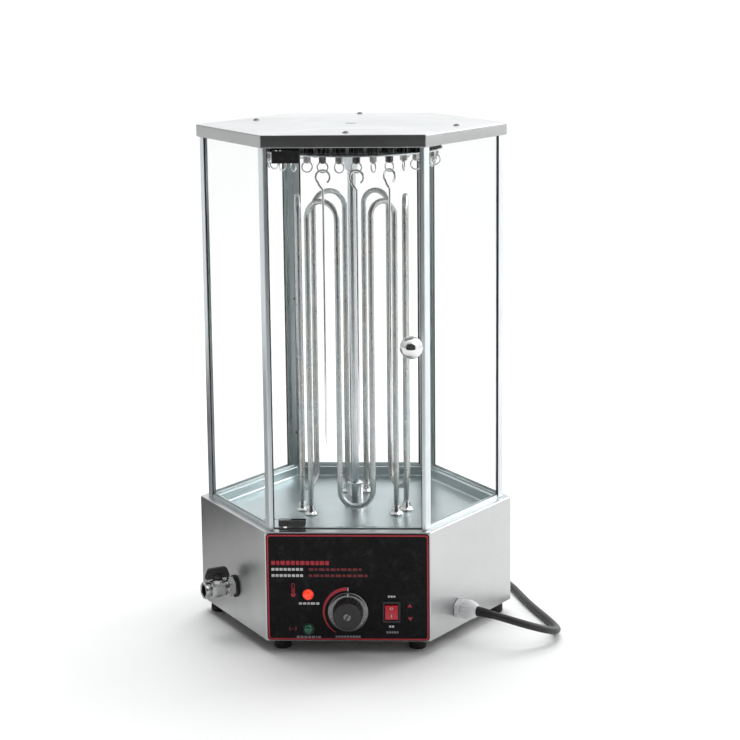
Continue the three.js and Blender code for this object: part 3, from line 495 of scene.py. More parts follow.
def finish(name, bm, materials, body="cabinet", stands_for=(), bevel=0.0, segments=2, matrix=None,
           sharp=33):
    """Turns the bmesh into a piece: bevels it, moves it into the row frame and lets it ride on its body."""
    if matrix is not None:
        bmesh.ops.transform(bm, matrix=matrix, verts=bm.verts)
    bmesh.ops.remove_doubles(bm, verts=bm.verts, dist=1e-4)
    bmesh.ops.recalc_face_normals(bm, faces=bm.faces)
    if bevel:
        edges = [e for e in bm.edges if len(e.link_faces) == 2 and e.calc_face_angle(0) > radians(sharp)]
        bmesh.ops.bevel(bm, geom=edges, offset=bevel, segments=segments, profile=0.5, affect="EDGES",
                        clamp_overlap=True)
    bmesh.ops.transform(bm, matrix=ROW, verts=bm.verts)
    for f in bm.faces:
        f.smooth = True
    for e in bm.edges:
        e.smooth = not (len(e.link_faces) == 2 and e.calc_face_angle(0) > radians(45))
    label = name + "_visual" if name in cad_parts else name
    mesh = bpy.data.meshes.new(label)
    bm.to_mesh(mesh)
    bm.free()
    piece = bpy.data.objects.new(label, mesh)
    bpy.context.scene.collection.objects.link(piece)
    for m in materials if isinstance(materials, (list, tuple)) else [materials]:
        mesh.materials.append(m)
    normals = piece.modifiers.new("normals", "WEIGHTED_NORMAL")
    normals.keep_sharp = True
    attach(piece, body)
    if stands_for:
        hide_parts(*([stands_for] if isinstance(stands_for, str) else stands_for))
    return piece


def face_point(angle, distance, along, height=0.0):
    return Vector((*spoke(along, angle + 90, *spoke(distance, angle)), height))


def on_face(angle, distance, along, height):
    """Local +Z points out of that face, local -X points up, and local +Y runs along the face."""
    return (Matrix.Translation(face_point(angle, distance, along, height))
            @ spun(angle) @ spun(90, "Y"))


def on_front(x, distance, z):
    """Local x is right, local y is up and local +Z points out of the front."""
    return at(x, -distance, z) @ spun(90, "X")


# ---------------------------------------------------------------- base and tray
FOOT_CIRCLE, SIDE_FOOT_CIRCLE = 158, 170
DRAIN_DISTANCE = 128


def base():
    bm = bmesh.new()
    low, top = BASE_BOTTOM, BASE_TOP
    hex_body(bm, [
        (190, low + 0.4, 2.4), (190, 60, 2.4), (190, 100, 2.4), (190, top - 1.6, 2.4),
        (189.75, top - 0.7, 2.2), (189.1, top - 0.15, 1.8), (188.4, top, 1.5), (168.6, top, 1),
        (168.1, top - 0.4, 1), (168.1, top - SHEET, 1), (187.6, top - SHEET, 1), (188.25, top - 2.4, 1),
        (188.25, low + 3, 1), (188.25, low, 1), (189.6, low, 2.2),
    ], closed=True)
    for f in bm.faces:
        if f.calc_center_median().z > top - 0.3:
            f.material_index = 1
    finish("base_housing", bm, [STEEL_WALL, STEEL_LEDGE], stands_for="base_housing")

    # Glazing channels: two thin rails on the ledge under each fixed pane.
    bm = bmesh.new()
    for angle in (30, 90, 150, -150, -30):
        turn = spun(angle)
        for inner, outer, half, high in ((148.9, 149.7, 83.5, 149.2), (154.4, 155.2, 84.5, 150.4)):
            block(bm, (inner, -half, BASE_TOP - 0.2), (outer, half, high), turn)
    finish("glazing_channels", bm, STEEL_POST, bevel=0.2)

    for k in range(6):
        reach = SIDE_FOOT_CIRCLE if k in (2, 5) else FOOT_CIRCLE
        bm = bmesh.new()
        lathe(bm, [(0, 0), (8.9, 0), (9.5, 0.4), (10.15, 1.6), (10.1, 4.6), (9.7, 5.0), (9.7, 5.6),
                   (10.1, 6.0), (9.8, 10.4), (9.4, 10.8), (9.4, 11.4), (9.8, 11.8), (9.55, 15.2),
                   (9.2, 15.7), (0, 15.7)], 40)
        finish(f"foot_{k + 1}", bm, RUBBER, stands_for=f"foot_{k + 1}",
               matrix=at(*spoke(reach, 60 * k + 240), 0))


def open_ends(bm):
    """Deletes the caps of a loft, the only faces here with more than four corners."""
    bmesh.ops.delete(bm, geom=[f for f in bm.faces if len(f.verts) > 4], context="FACES_ONLY")


def tray():
    bm = bmesh.new()
    drain = face_point(LEFT_FACE, DRAIN_DISTANCE, TAP_ALONG)
    floor, rim = TRAY_FLOOR, BASE_TOP + GAP
    hex_body(bm, [
        (171.4, rim, 1.5), (171.5, rim + 0.5, 1.5), (171.4, rim + 1, 1.5), (167.2, rim + 1, 2),
        (166.1, rim + 0.6, 2), (165.5, rim - 0.3, 2.5), (165.5, floor + 3.4, 3), (164.9, floor + 1.5, 3),
        (163.3, floor + 0.4, 3), (161, floor, 3),
    ])
    open_ends(bm)

    def round_drain(radius, z):
        return [Vector((*spoke(radius, 15 * i, drain.x, drain.y), z)) for i in range(24)]

    fill(bm, hexagon(161, floor, 3, 4), round_drain(4.6, floor))
    # The outlet pipe's bore, then the tray's underside back up to the rim.
    lathe(bm, [(4.6, floor), (4.0, floor - 0.8), (4.0, floor - 24), (6, floor - 24), (6, floor - SHEET)], 24,
          matrix=at(drain.x, drain.y, 0))
    open_ends(bm)
    fill(bm, hexagon(165.2, floor - SHEET, 3, 4), round_drain(6, floor - SHEET))
    loft(bm, [hexagon(radius, z, corner, 4) for radius, z, corner in (
        (165.2, floor - SHEET, 3), (166.6, floor - 0.6, 3), (167, floor + 0.6, 3), (167, rim, 1.5),
        (171.4, rim, 1.5))], caps=False)
    finish("drip_tray", bm, TRAY, stands_for="drip_tray")


# ---------------------------------------------------------------- control panel
PANEL_LOW, PANEL_HIGH = 17, 144.5
INK = 0.12
DIAL_HEIGHT = 52
LAMP_X, HEATING_LAMP, POWER_LAMP = -46, 72.5, 31
SWITCH_X, SWITCH_HEIGHT = 50, 52


def printed(name, material, shapes):
    """Raised ink on the panel: each shape is an outline in its plane, or a pair of outlines for a frame."""
    bm = bmesh.new()
    back, top = PANEL_FRONT - 0.05, PANEL_FRONT + INK
    for shape in shapes:
        if isinstance(shape, tuple):
            outer, inner = shape
            loft(bm, [upright(outer, back), upright(outer, top), upright(inner, top), upright(inner, back)],
                 closed=True)
        else:
            loft(bm, [upright(shape, back), upright(shape, top)])
    return finish(name, bm, material)


def bar(x0, x1, z0, z1):
    return rounded(x1 - x0, z1 - z0, min(0.5, (z1 - z0) / 3), 2, ((x0 + x1) / 2, (z0 + z1) / 2))


def dashes(x0, x1, z, height, widths, gap):
    """A row of short bars that stands for a line of print."""
    shapes, x, k = [], x0, 0
    while x + widths[k % len(widths)] <= x1:
        width = widths[k % len(widths)]
        shapes.append(bar(x, x + width, z - height / 2, z + height / 2))
        x += width + gap
        k += 1
    return shapes


def disc(x, z, radius):
    return [spoke(radius, 18 * i, x, z) for i in range(20)]


def panel():
    bm = bmesh.new()
    middle = (PANEL_LOW + PANEL_HIGH) / 2
    outline = rounded(188, PANEL_HIGH - PANEL_LOW, 4, 6, (0, middle))
    small = rounded(187.2, PANEL_HIGH - PANEL_LOW - 0.8, 3.7, 6, (0, middle))
    loft(bm, [upright(outline, BASE_FLAT + GAP), upright(outline, PANEL_FRONT - 0.35),
              upright(small, PANEL_FRONT)])
    finish("control_panel", bm, PANEL, stands_for="control_panel")

    printed("panel_border", INK_RED, [(
        rounded(185.8, PANEL_HIGH - PANEL_LOW - 2.0, 3.4, 6, (0, middle)),
        rounded(182.4, PANEL_HIGH - PANEL_LOW - 5.4, 2.4, 6, (0, middle)),
    )])
    red = dashes(-88, -19, 110.1, 4.9, (4.6, 3.4, 5.2, 4.2), 1.3)
    # Thermometer sign.
    red += [(rounded(3.6, 12.5, 1.7, 4, (-63.2, 79.5)), rounded(2.2, 10.6, 1.0, 4, (-63.2, 79.7)))]
    red += [disc(-63.2, 72.2, 2.7), bar(-63.7, -62.7, 73, 80)]
    for x, z, way in ((71.1, 59.4, 1), (71.7, 43.5, -1)):
        red.append([(x - 2.7, z - way * 1.8), (x + 2.7, z - way * 1.8), (x, z + way * 2.4)])
    # Heat arc round the dial: thick beside twelve o'clock and thin at seven.
    outer, inner = [], []
    for i in range(41):
        share = i / 40
        width = 4.4 - 3.5 * share
        for points, radius in ((outer, 29.4), (inner, 29.4 - width)):
            points.append(spoke(radius, 93 + 147 * share, 0, DIAL_HEIGHT))
    red.append(outer + inner[::-1])
    printed("panel_red_print", INK_RED, red)

    sign_x = -64.4
    dim = [disc(sign_x, POWER_LAMP, 0.8)]
    dim += dashes(-45, 24, 102.4, 3.0, (5.5, 3.2, 6.5, 4.2), 1.5)
    dim += dashes(-45, 24, 95.0, 3.0, (4.2, 6.5, 3.2, 5.5), 1.5)
    for side in (-1, 1):
        curve = [spoke(4.4, a) for a in range(-38, 39, 19)] + [spoke(3.5, a) for a in range(38, -39, -19)]
        dim.append([(sign_x + side * x, POWER_LAMP + z) for x, z in curve])
        dim.append([(sign_x + side * x, z) for x, z in ((2.4, 29.2), (3.1, 29.2), (3.1, 32.8), (2.4, 32.8))])
    printed("panel_dim_print", INK_DIM, dim)

    white = dashes(-88, -49, 102.4, 3.2, (3.6, 3.6, 3.6, 3.6), 1.1) + dashes(-88, -49, 95.0, 3.2, (3.6,), 1.1)
    white += dashes(-57, -33, 61.6, 2.7, (3.8, 3.8, 2.8, 5.2), 1.1)
    white += dashes(46, 55, 70.3, 2.5, (2.4, 2.4, 2.4), 0.7) + dashes(47, 54, 34.3, 2.5, (2.6, 2.6), 0.7)
    white.append([(-0.5, 76.6), (0.5, 76.6), (0.7, 80.8), (-0.7, 80.8)])
    printed("panel_white_print", INK_WHITE, white)
    faint = dashes(-60, -30, 21.2, 2.6, (3.4, 3.4, 3.4, 3.4, 3.4, 1.6), 1.0)
    faint += dashes(-15, 17, 21.8, 2.6, (2.6,), 0.7) + dashes(44, 59, 27.3, 2.6, (2.2,), 0.7)
    printed("panel_grey_print", INK_GREY, faint)

    for name, height, material, slot in (
            ("heating_lamp", HEATING_LAMP, RED_LENS, "red_lens"),
            ("power_lamp", POWER_LAMP, GREEN_LENS, "green_lens")):
        bm = bmesh.new()
        lathe(bm, [(0, -16), (4.9, -16), (4.9, 0), (6.2, 0), (6.2, 0.7), (5.9, 1.1), (5.7, 1.5), (5.3, 2.7),
                   (4.4, 3.7), (3.0, 4.4), (1.5, 4.65), (0, 4.7)], 40)
        finish(name, bm, material, stands_for=name,
               matrix=on_front(LAMP_X, PANEL_FRONT + GAP, height))
        bm = bmesh.new()
        lathe(bm, [(6.25, 0.05), (7.1, 0.05), (7.1, 0.55), (6.8, 0.85), (6.25, 0.85)], 40, closed=True)
        finish(name + "_ring", bm, BLACK,
               matrix=on_front(LAMP_X, PANEL_FRONT + 0.2, height))


def ribbed(radius, z, rib, count, power, sides):
    """A ring with evenly spaced grooves between its grip ribs."""
    depth = [rib * (0.5 + 0.5 * cos(2 * pi * count * i / sides)) ** power for i in range(sides)]
    return [Vector((*spoke(radius - depth[i], 360 * i / sides), z)) for i in range(sides)]


def dial():
    place = on_front(0, PANEL_FRONT + 0.6, DIAL_HEIGHT)
    bm = bmesh.new()
    lathe(bm, [(0, 0), (23.0, 0), (23.4, 0.3), (23.5, 0.8), (23.5, 1.7), (23.1, 2.3), (21.6, 3.2),
               (20.6, 3.5), (18.2, 3.7), (0, 3.7)], 72)
    finish("knob_skirt", bm, SKIRT_CHROME, "thermostat_dial", "thermostat_knob",
           matrix=place)

    # The grip: twenty-four finger ribs that fade out at the face.
    bm = bmesh.new()
    rings = [ribbed(*ring, 24, 3, 144) for ring in (
        (17.9, 3.4, 0), (17.6, 4.2, 0.4), (17.5, 5.2, 0.9), (17.0, 12, 0.9), (16.7, 17.6, 0.8),
        (16.3, 19.2, 0.5), (15.5, 20.2, 0.15), (14.6, 20.6, 0), (5.2, 20.6, 0))]
    loft(bm, [*rings, [Vector((0, 0, 20.6))]])
    finish("knob_grip", bm, BLACK, "thermostat_dial", matrix=place)

    # Its slotted cap.
    bm = bmesh.new()
    radius, half_slot = 4.2, 0.75
    edge = degrees(asin(half_slot / radius))
    for side in (-1, 1):
        outline = [spoke(radius, edge + (180 - 2 * edge) * i / 24) for i in range(25)]
        prism(bm, [(x, side * y) for x, y in outline], 20.4, 21.4)
    finish("knob_cap", bm, SKIRT_CHROME, "thermostat_dial", bevel=0.12,
           matrix=place @ spun(60))

    bm = bmesh.new()
    prism(bm, [(-0.8, 18.6), (0.8, 18.6), (0.8, 22.2), (-0.8, 22.2)], 3.0, 3.9)
    for k in range(1, 12):
        if k != 6:
            lathe(bm, [(0, 3.0), (0.55, 3.0), (0.55, 3.75), (0, 3.75)], 10,
                  matrix=at(*spoke(20.6, 90 - 25.7 * k), 0))
    finish("knob_marks", bm, INK_WHITE, "thermostat_dial", matrix=place)


def switch():
    x, z, back = SWITCH_X, SWITCH_HEIGHT, PANEL_FRONT + GAP
    bm = bmesh.new()
    rings = []
    for width, height, radius, depth in ((20.6, 25.6, 1.2, 0), (20.6, 25.6, 1.2, 1.2), (20.2, 25.2, 1.1, 1.6),
                                         (19.6, 24.6, 1.0, 1.8), (16.6, 20.2, 0.6, 1.8),
                                         (16.2, 19.8, 0.5, 1.5), (16.0, 19.6, 0.5, 0.8),
                                         (16.0, 19.6, 0.5, -12)):
        rings.append([Vector((px, py, depth)) for px, py in rounded(width, height, radius, 4)])
    rings.append([Vector((px, py, -14)) for px, py in rounded(16.0, 19.6, 0.5, 4)])
    rings += [[Vector((px, py, d)) for px, py in rounded(17.4, 22.4, 0.6, 4)] for d in (-24, 0)]
    made = [[bm.verts.new(p) for p in ring] for ring in rings]
    for k, (a, b) in enumerate(zip(made, made[1:])):
        if k != 8:
            ring_faces(bm, a, b)
    ring_faces(bm, made[-1], made[0])
    bm.faces.new(made[8])
    bm.faces.new(made[9])
    finish("motor_switch_housing", bm, BLACK, stands_for="motor_switch_housing",
           matrix=on_front(x, back, z))

    # The rocker, pressed at the bottom: two faces that meet in a shallow curved valley.
    half = 8.7
    profile = [(-half, 3.6), (-6.5, 2.75), (-3.8, 1.75), (-1.6, 0.98), (0, 0.66), (1.6, 0.68), (4, 0.86),
               (6.6, 1.05), (half, 1.2), (half, -2.4), (3, -6.5), (-3, -6.5), (-half, -2.4)]
    bm = bmesh.new()
    sections = []
    for shift, inset in ((-7.5, 0.35), (-7.15, 0.0), (7.15, 0.0), (7.5, 0.35)):
        sections.append([Vector((shift, p[0] * (1 - inset / half), p[1] - (inset if p[1] > 0 else -inset)))
                         for p in profile])
    loft(bm, sections)
    turned_over = Matrix.Scale(-1, 4, (0, 1, 0))
    finish("motor_switch_rocker", bm, ROCKER, "motor_rocker", "motor_switch_rocker",
           matrix=on_front(x, back + 1, z) @ turned_over, bevel=0.15)
    # Its on and off signs, a line and a ring, stand a hair proud of the two faces.
    bm = bmesh.new()
    block(bm, (-0.45, -6.4, 0.6), (0.45, -2.6, 2.9), spun(-2.6, "X"))
    tilt = at(0, 4.6, 2.13) @ spun(20.5, "X")
    lathe(bm, [(1.3, -0.4), (2.0, -0.4), (2.0, 0.1), (1.3, 0.1)], 28, closed=True, matrix=tilt)
    for v in bm.verts:
        if v.co.y < 0:
            v.co.z = min(v.co.z, 0.95 + 0.045 * abs(v.co.y))
    finish("rocker_signs", bm, INK_WHITE, "motor_rocker", matrix=on_front(x, back + 1, z))


# ---------------------------------------------------------------- drain tap
TAP_HEIGHT = 58
TAP = (LEFT_FACE, BASE_FLAT, TAP_ALONG, TAP_HEIGHT)
TAP_STEM = 23
TAP_BOSS = 12.6


def tap():
    place = on_face(*TAP)
    bm = bmesh.new()
    lathe(bm, [(6.9, 0.3), (12.6, 0.3), (13.3, 0.8), (13.4, 1.5), (13.2, 2.2), (12.5, 2.6), (6.9, 2.6)], 48,
          closed=True)
    finish("drain_tap_washer", bm, RUBBER, stands_for="drain_tap_washer", matrix=place)

    bm = bmesh.new()
    for section in (((10.8, 2.9), (12.1, 3.6), (12.2, 7.4), (12.2, 11.2), (10.9, 11.9)),
                    ((9.8, 15.6), (11.1, 16.6), (11.2, 24), (11.2, 32), (9.9, 33.2))):
        loft(bm, [hexagon(radius, z, 1.0, 3) for radius, z in section])
    lathe(bm, [(0, 2.95), (9.9, 2.95), (10, 12.2), (9.2, 13.0), (9.2, 33.6), (9.8, 34.2), (10.2, 34.8),
               (10.2, 40.2), (9.7, 40.9), (7.7, 41), (7.1, 40.4), (7.0, 33), (0, 33)], 48)
    lathe(bm, [(0, -14), (6.1, -14), (6.1, 4), (0, 4)], 32)
    boss = at(0, 0, TAP_STEM) @ spun(-90, "Y")
    lathe(bm, [(0, 6), (7.4, 6), (7.2, 11.4), (5.9, 11.9), (5.6, 12.4), (5.2, TAP_BOSS), (0, TAP_BOSS)], 32,
          matrix=boss)
    finish("drain_tap_body", bm, TAP_CHROME, stands_for="drain_tap_body", matrix=place)
    # A near-black lining in the outlet's bore: painted shade inside the hole.
    bm = bmesh.new()
    lathe(bm, [(0, 33.1), (6.95, 33.1), (6.95, 40.2), (6.3, 40.2), (6.3, 34), (0, 34)], 32)
    finish("drain_tap_bore", bm, HOLE_PAINTED_SHADE, matrix=place)

    # The butterfly handle lies along the tap like a low hood, widest where it meets the body.
    wings = [(-15, 0.4), (-14.6, 0), (14.6, 0), (15, 0.4), (15, 3), (14.2, 5.6), (11.8, 11.4), (11, 12.5),
             (9.8, 13), (-9.8, 13), (-11, 12.5), (-11.8, 11.4), (-14.2, 5.6), (-15, 3)]
    bm = bmesh.new()
    prism(bm, wings, -2.5, 2.5, spun(90, "X"))
    spot = face_point(LEFT_FACE, BASE_FLAT + TAP_STEM, TAP_ALONG)
    stand = at(spot.x, spot.y, TAP_HEIGHT + TAP_BOSS + GAP) @ spun(LEFT_FACE)
    finish("drain_tap_handle", bm, BLACK, "tap_lever", "drain_tap_handle", bevel=0.9,
           segments=3, matrix=stand)
    bm = bmesh.new()
    lathe(bm, [(0, 0), (6.0, 0), (6.4, 0.5), (6.4, 4.4), (5.4, 5.6), (2.6, 6), (0, 6)], 36)
    finish("drain_tap_handle_hub", bm, BLACK, "tap_lever", matrix=stand)


# ---------------------------------------------------------------- gland and mains lead
CORD_RADIUS = 4.6
GLAND_TIP = BASE_FLAT + 27
GLAND_ALONG, GLAND_HEIGHT = -33, 40
GLAND = (RIGHT_FACE, BASE_FLAT, GLAND_ALONG, GLAND_HEIGHT)
COIL_CENTRE = (36, 238)
COIL_INNER, COIL_OUTER = 45.4, 54.6
COIL_LOW, COIL_HIGH = 4.9, 14.1
COIL_TURNS = 3.5
TAIL_Y, PLUG_HEIGHT = 292.6, 17.6
RELIEF_LENGTH = 24
CORD_ROUTE = [
    (176, -139.3, 37.5), (198, -144.8, 32.5), (219, -139.5, 25), (235, -124.5, 17), (242.5, -103, 10.5),
    (242, -80, 6.3), (237, -57, 4.9), (229.5, -34, 4.9), (221.5, -11, 4.9), (214, 12, 4.9), (207, 36, 4.9),
    (200.5, 60, 4.9), (193.5, 84, 4.9), (184.5, 108, 4.9), (171.5, 131, 4.9), (153, 151, 4.9),
    (130, 167, 4.9), (103, 178, 4.9), (76, 183, 4.9),
]


def ease(t):
    t = max(0.0, min(1.0, t))
    return t * t * (3 - 2 * t)


def cord_points():
    points = [face_point(RIGHT_FACE, distance, GLAND_ALONG, height) for distance, height in (
        (BASE_FLAT - 8, GLAND_HEIGHT), (BASE_FLAT + 14, GLAND_HEIGHT), (GLAND_TIP + 6, GLAND_HEIGHT - 0.5))]
    points += [Vector(p) for p in CORD_ROUTE]
    # Three and a half turns: out, in, up a layer, and out again.
    per_turn = 16
    step = COIL_OUTER - COIL_INNER
    for i in range(int(COIL_TURNS * per_turn) + 1):
        t = i / per_turn
        radius = COIL_OUTER - step * ease((t - 0.75) / 0.5) + step * ease((t - 2.6) / 0.5)
        height = COIL_LOW + (COIL_HIGH - COIL_LOW) * ease((t - 1.75) / 0.5)
        points.append(Vector((*spoke(radius, -90 - 360 * t, *COIL_CENTRE), height)))
    points += [Vector(p) for p in ((58, TAIL_Y, COIL_HIGH + 0.2), (80, TAIL_Y, 16.2),
                                   (102, TAIL_Y, PLUG_HEIGHT))]
    return points


def mains_lead():
    place = on_face(*GLAND)
    bm = bmesh.new()
    loft(bm, [hexagon(radius, z, 1.2, 3) for radius, z in ((11.4, 0.3), (12.4, 0.9), (12.4, 5.8),
                                                           (11.5, 6.5))])
    lathe(bm, [(0, -10), (8, -10), (8, 1), (0, 1)], 40)
    lathe(bm, [(0, 6), (9.2, 6), (9.2, 9.3), (0, 9.3)], 40)
    finish("cable_gland_body", bm, NYLON, stands_for="cable_gland_body", matrix=place)

    # The dome nut has grip ribs round its skirt.
    bm = bmesh.new()
    rings = [ribbed(*ring, 16, 2, 96) for ring in (
        (5.1, 9.4, 0), (10.8, 9.4, 0.2), (11.3, 10, 0.6), (11.4, 15.8, 0.7), (11.0, 17.6, 0.4),
        (10.3, 20.2, 0), (9.4, 22.8, 0), (8.2, 25.0, 0), (7.0, 26.4, 0), (6.2, 26.9, 0), (5.2, 27, 0),
        (5.1, 26, 0))]
    loft(bm, rings, closed=True)
    finish("cable_gland_nut", bm, NYLON, stands_for="cable_gland_nut", matrix=place)

    points = cord_points()
    data = bpy.data.curves.new("power_cord", "CURVE")
    data.dimensions = "3D"
    data.bevel_depth = CORD_RADIUS * MM
    data.bevel_resolution = 5
    data.resolution_u = 6
    data.use_fill_caps = True
    spline = data.splines.new("BEZIER")
    spline.bezier_points.add(len(points) - 1)
    for knot, point in zip(spline.bezier_points, points):
        knot.co = row(point)
        knot.handle_left_type = knot.handle_right_type = "AUTO"
    cord = bpy.data.objects.new("power_cord_visual", data)
    data.materials.append(SHEATHING)
    bpy.context.scene.collection.objects.link(cord)
    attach(cord, "cabinet")
    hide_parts("power_cord", "cord_coil", "cord_tail")

    # Tapered strain relief where the cord leaves the gland, with shallow rings.
    line = [p for p in smooth_path(points[:7], 14) if p.x > points[1].x]
    reach, start = 0.0, next(i for i, p in enumerate(line)
                             if (p - face_point(*GLAND)).length > RELIEF_LENGTH)
    end = start
    while reach < RELIEF_LENGTH:
        reach += (line[end + 1] - line[end]).length
        end += 1
    bm = bmesh.new()
    sweep(bm, line[start:end], lambda t: 5.05 - 0.2 * t + 0.95 * (1 - t) ** 0.7 - 0.12 * (sin(26 * t) > 0.6),
          32)
    relief = finish("cord_strain_relief", bm, RUBBER)

    # The band that holds the coil together.
    bm = bmesh.new()
    out = Vector((*spoke(1, 200), 0))
    along = Vector((*spoke(1, 290), 0))
    centre = Vector((*COIL_CENTRE, 0))
    rings = []
    for width, height, low, wide in ((18.9, 18.55, 0.28, 4.2), (20.6, 19.9, 0.04, 4.2),
                                     (20.6, 19.9, 0.04, -4.2), (18.9, 18.55, 0.28, -4.2)):
        loop = rounded(width, height, 3.2, 6, (0, low + height / 2))
        rings.append([centre + out * (50 + x) + Vector((0, 0, z)) + along * wide for x, z in loop])
    loft(bm, rings, closed=True)
    tie = finish("cord_tie", bm, RUBBER, bevel=0.2)

    # The plug lies on its side beside the coil.
    bm = bmesh.new()
    sides, rings = 64, []
    for radius, x, flat in ((5.0, 0, 0), (5.9, 0.6, 0), (6.2, 4, 0), (5.6, 4.8, 0), (5.6, 6.4, 0),
                            (6.4, 7.2, 0), (6.6, 10.6, 0), (5.9, 11.4, 0), (6.0, 13, 0), (7.2, 14.2, 0),
                            (9.2, 17.8, 0.1), (12, 22.4, 0.2), (14.8, 28, 0.25), (16.4, 31.4, 0.2),
                            (17.2, 34.4, 0.1), (17.4, 37, 0), (17.4, 49.2, 0), (16.8, 50, 0)):
        ring = []
        for i in range(sides):
            a = 2 * pi * i / sides
            r = radius * (1 - flat * abs(sin(a)) ** 4)
            ring.append(Vector((x, r * cos(a), r * sin(a))))
        rings.append(ring)
    loft(bm, rings)
    entry = at(102.3, TAIL_Y, PLUG_HEIGHT)
    plug = finish("mains_plug", bm, SHEATHING, stands_for="mains_plug", matrix=entry)
    bm = bmesh.new()
    for side in (-9.5, 9.5):
        lathe(bm, [(0, 49.5), (2.4, 49.5), (2.4, 66.8), (2.1, 68), (1.3, 68.8), (0, 69)], 24,
              matrix=at(0, side, 0) @ spun(90, "Y"))
    pins = finish("plug_pins", bm, CHROME, matrix=entry)


# ---------------------------------------------------------------- heaters and shaft
HEATER_CIRCLE, HEATER_TUBE = 67, 3.3
HEATER_TOP, HEATER_BOTTOM, HEATER_END = 514, 150, 118
LEG_ANGLES = (-49, -12, 22, 51)


def polar(radius, azimuth):
    """A point round the shaft, at an angle from the front."""
    return Vector((*spoke(radius, azimuth - 90), 0))


def heaters():
    for name, azimuth in (("heater_front", 0), ("heater_right", 120), ("heater_left", 240)):
        legs = [polar(HEATER_CIRCLE, azimuth + a) for a in LEG_ANGLES]
        line = [legs[0] + Vector((0, 0, HEATER_END))]
        for i in range(3):
            across = legs[i + 1] - legs[i]
            bend = across.length / 2
            up = i % 2 == 0
            level = HEATER_TOP - bend if up else HEATER_BOTTOM + bend
            middle = (legs[i] + legs[i + 1]) / 2 + Vector((0, 0, level))
            line += arc(middle, bend, 180, 0 if up else 360, 28, (across.normalized(), (0, 0, 1)))
        line.append(legs[3] + Vector((0, 0, HEATER_END)))
        bm = bmesh.new()
        sweep(bm, line, HEATER_TUBE, 24)
        finish(name, bm, SHEATH, stands_for=name)
        bm = bmesh.new()
        floor = TRAY_FLOOR + GAP
        for leg in (legs[0], legs[3]):
            move = at(leg.x, leg.y, 0)
            lathe(bm, [(3.35, floor), (7.9, floor), (8.2, floor + 0.3), (8.2, floor + 1.1),
                       (7.6, floor + 1.8), (6.3, floor + 3.2), (5.4, floor + 5.2), (4.8, floor + 8.2),
                       (4.4, floor + 10.4), (4.1, floor + 11), (3.35,
                                                                floor + 11)], 32, closed=True, matrix=move)
            under = TRAY_FLOOR - SHEET - GAP
            nut(bm, move, 0.5, ((6.5, under - 5), (7, under - 4.5), (7, under - 0.5), (6.5, under)))
        finish(name + "_ferrules", bm, CHROME)


SHAFT_RADIUS, SHAFT_BORE = 5, 5.3
WHEEL_BOTTOM, WHEEL_TOP = 570, 572


def drive():
    bm = bmesh.new()
    lathe(bm, [(0, 112), (4.6, 112), (SHAFT_RADIUS, 112.5), (SHAFT_RADIUS, 350), (SHAFT_RADIUS, 591.3),
               (4.4, 592), (0, 592)], 40)
    finish("drive_shaft", bm, SHAFT_STEEL, "wheel", "drive_shaft")
    bm = bmesh.new()
    floor = TRAY_FLOOR
    lathe(bm, [(SHAFT_BORE, floor + GAP), (12.6, floor + GAP), (13, floor + 0.7), (13, floor + 2.0),
               (12.4, floor + 2.6), (10.3, floor + 3.0), (9.6, floor + 3.8), (9.5, floor + 5),
               (9.5, floor + 28.6), (9.1, floor + 29.6), (8.2, floor + 30), (SHAFT_BORE,
                                                                             floor + 30)], 48, closed=True)
    finish("shaft_collar", bm, CHROME, stands_for="shaft_collar")
    bm = bmesh.new()
    lathe(bm, [(SHAFT_BORE, 545), (6.4, 545), (6.9, 545.6), (7.6, 548), (9, 552), (11.2, 559.6),
               (12.3, 563.4), (12.5, 565), (12.5, 569.2), (12.1, WHEEL_BOTTOM - GAP),
               (SHAFT_BORE, WHEEL_BOTTOM - GAP)], 48, closed=True)
    finish("wheel_hub", bm, STEEL_POST, "wheel", "wheel_hub")


# ---------------------------------------------------------------- cabinet
POST_SHEET, POST_BEND = 1.4, 1.9
POST_FLANGE, REAR_FLANGE, FRONT_FLANGE = 11, 15, 4.3
PANE_ANGLES = {"rear": 90, "rear_left": 150, "left": -150, "right": -30, "rear_right": 30}


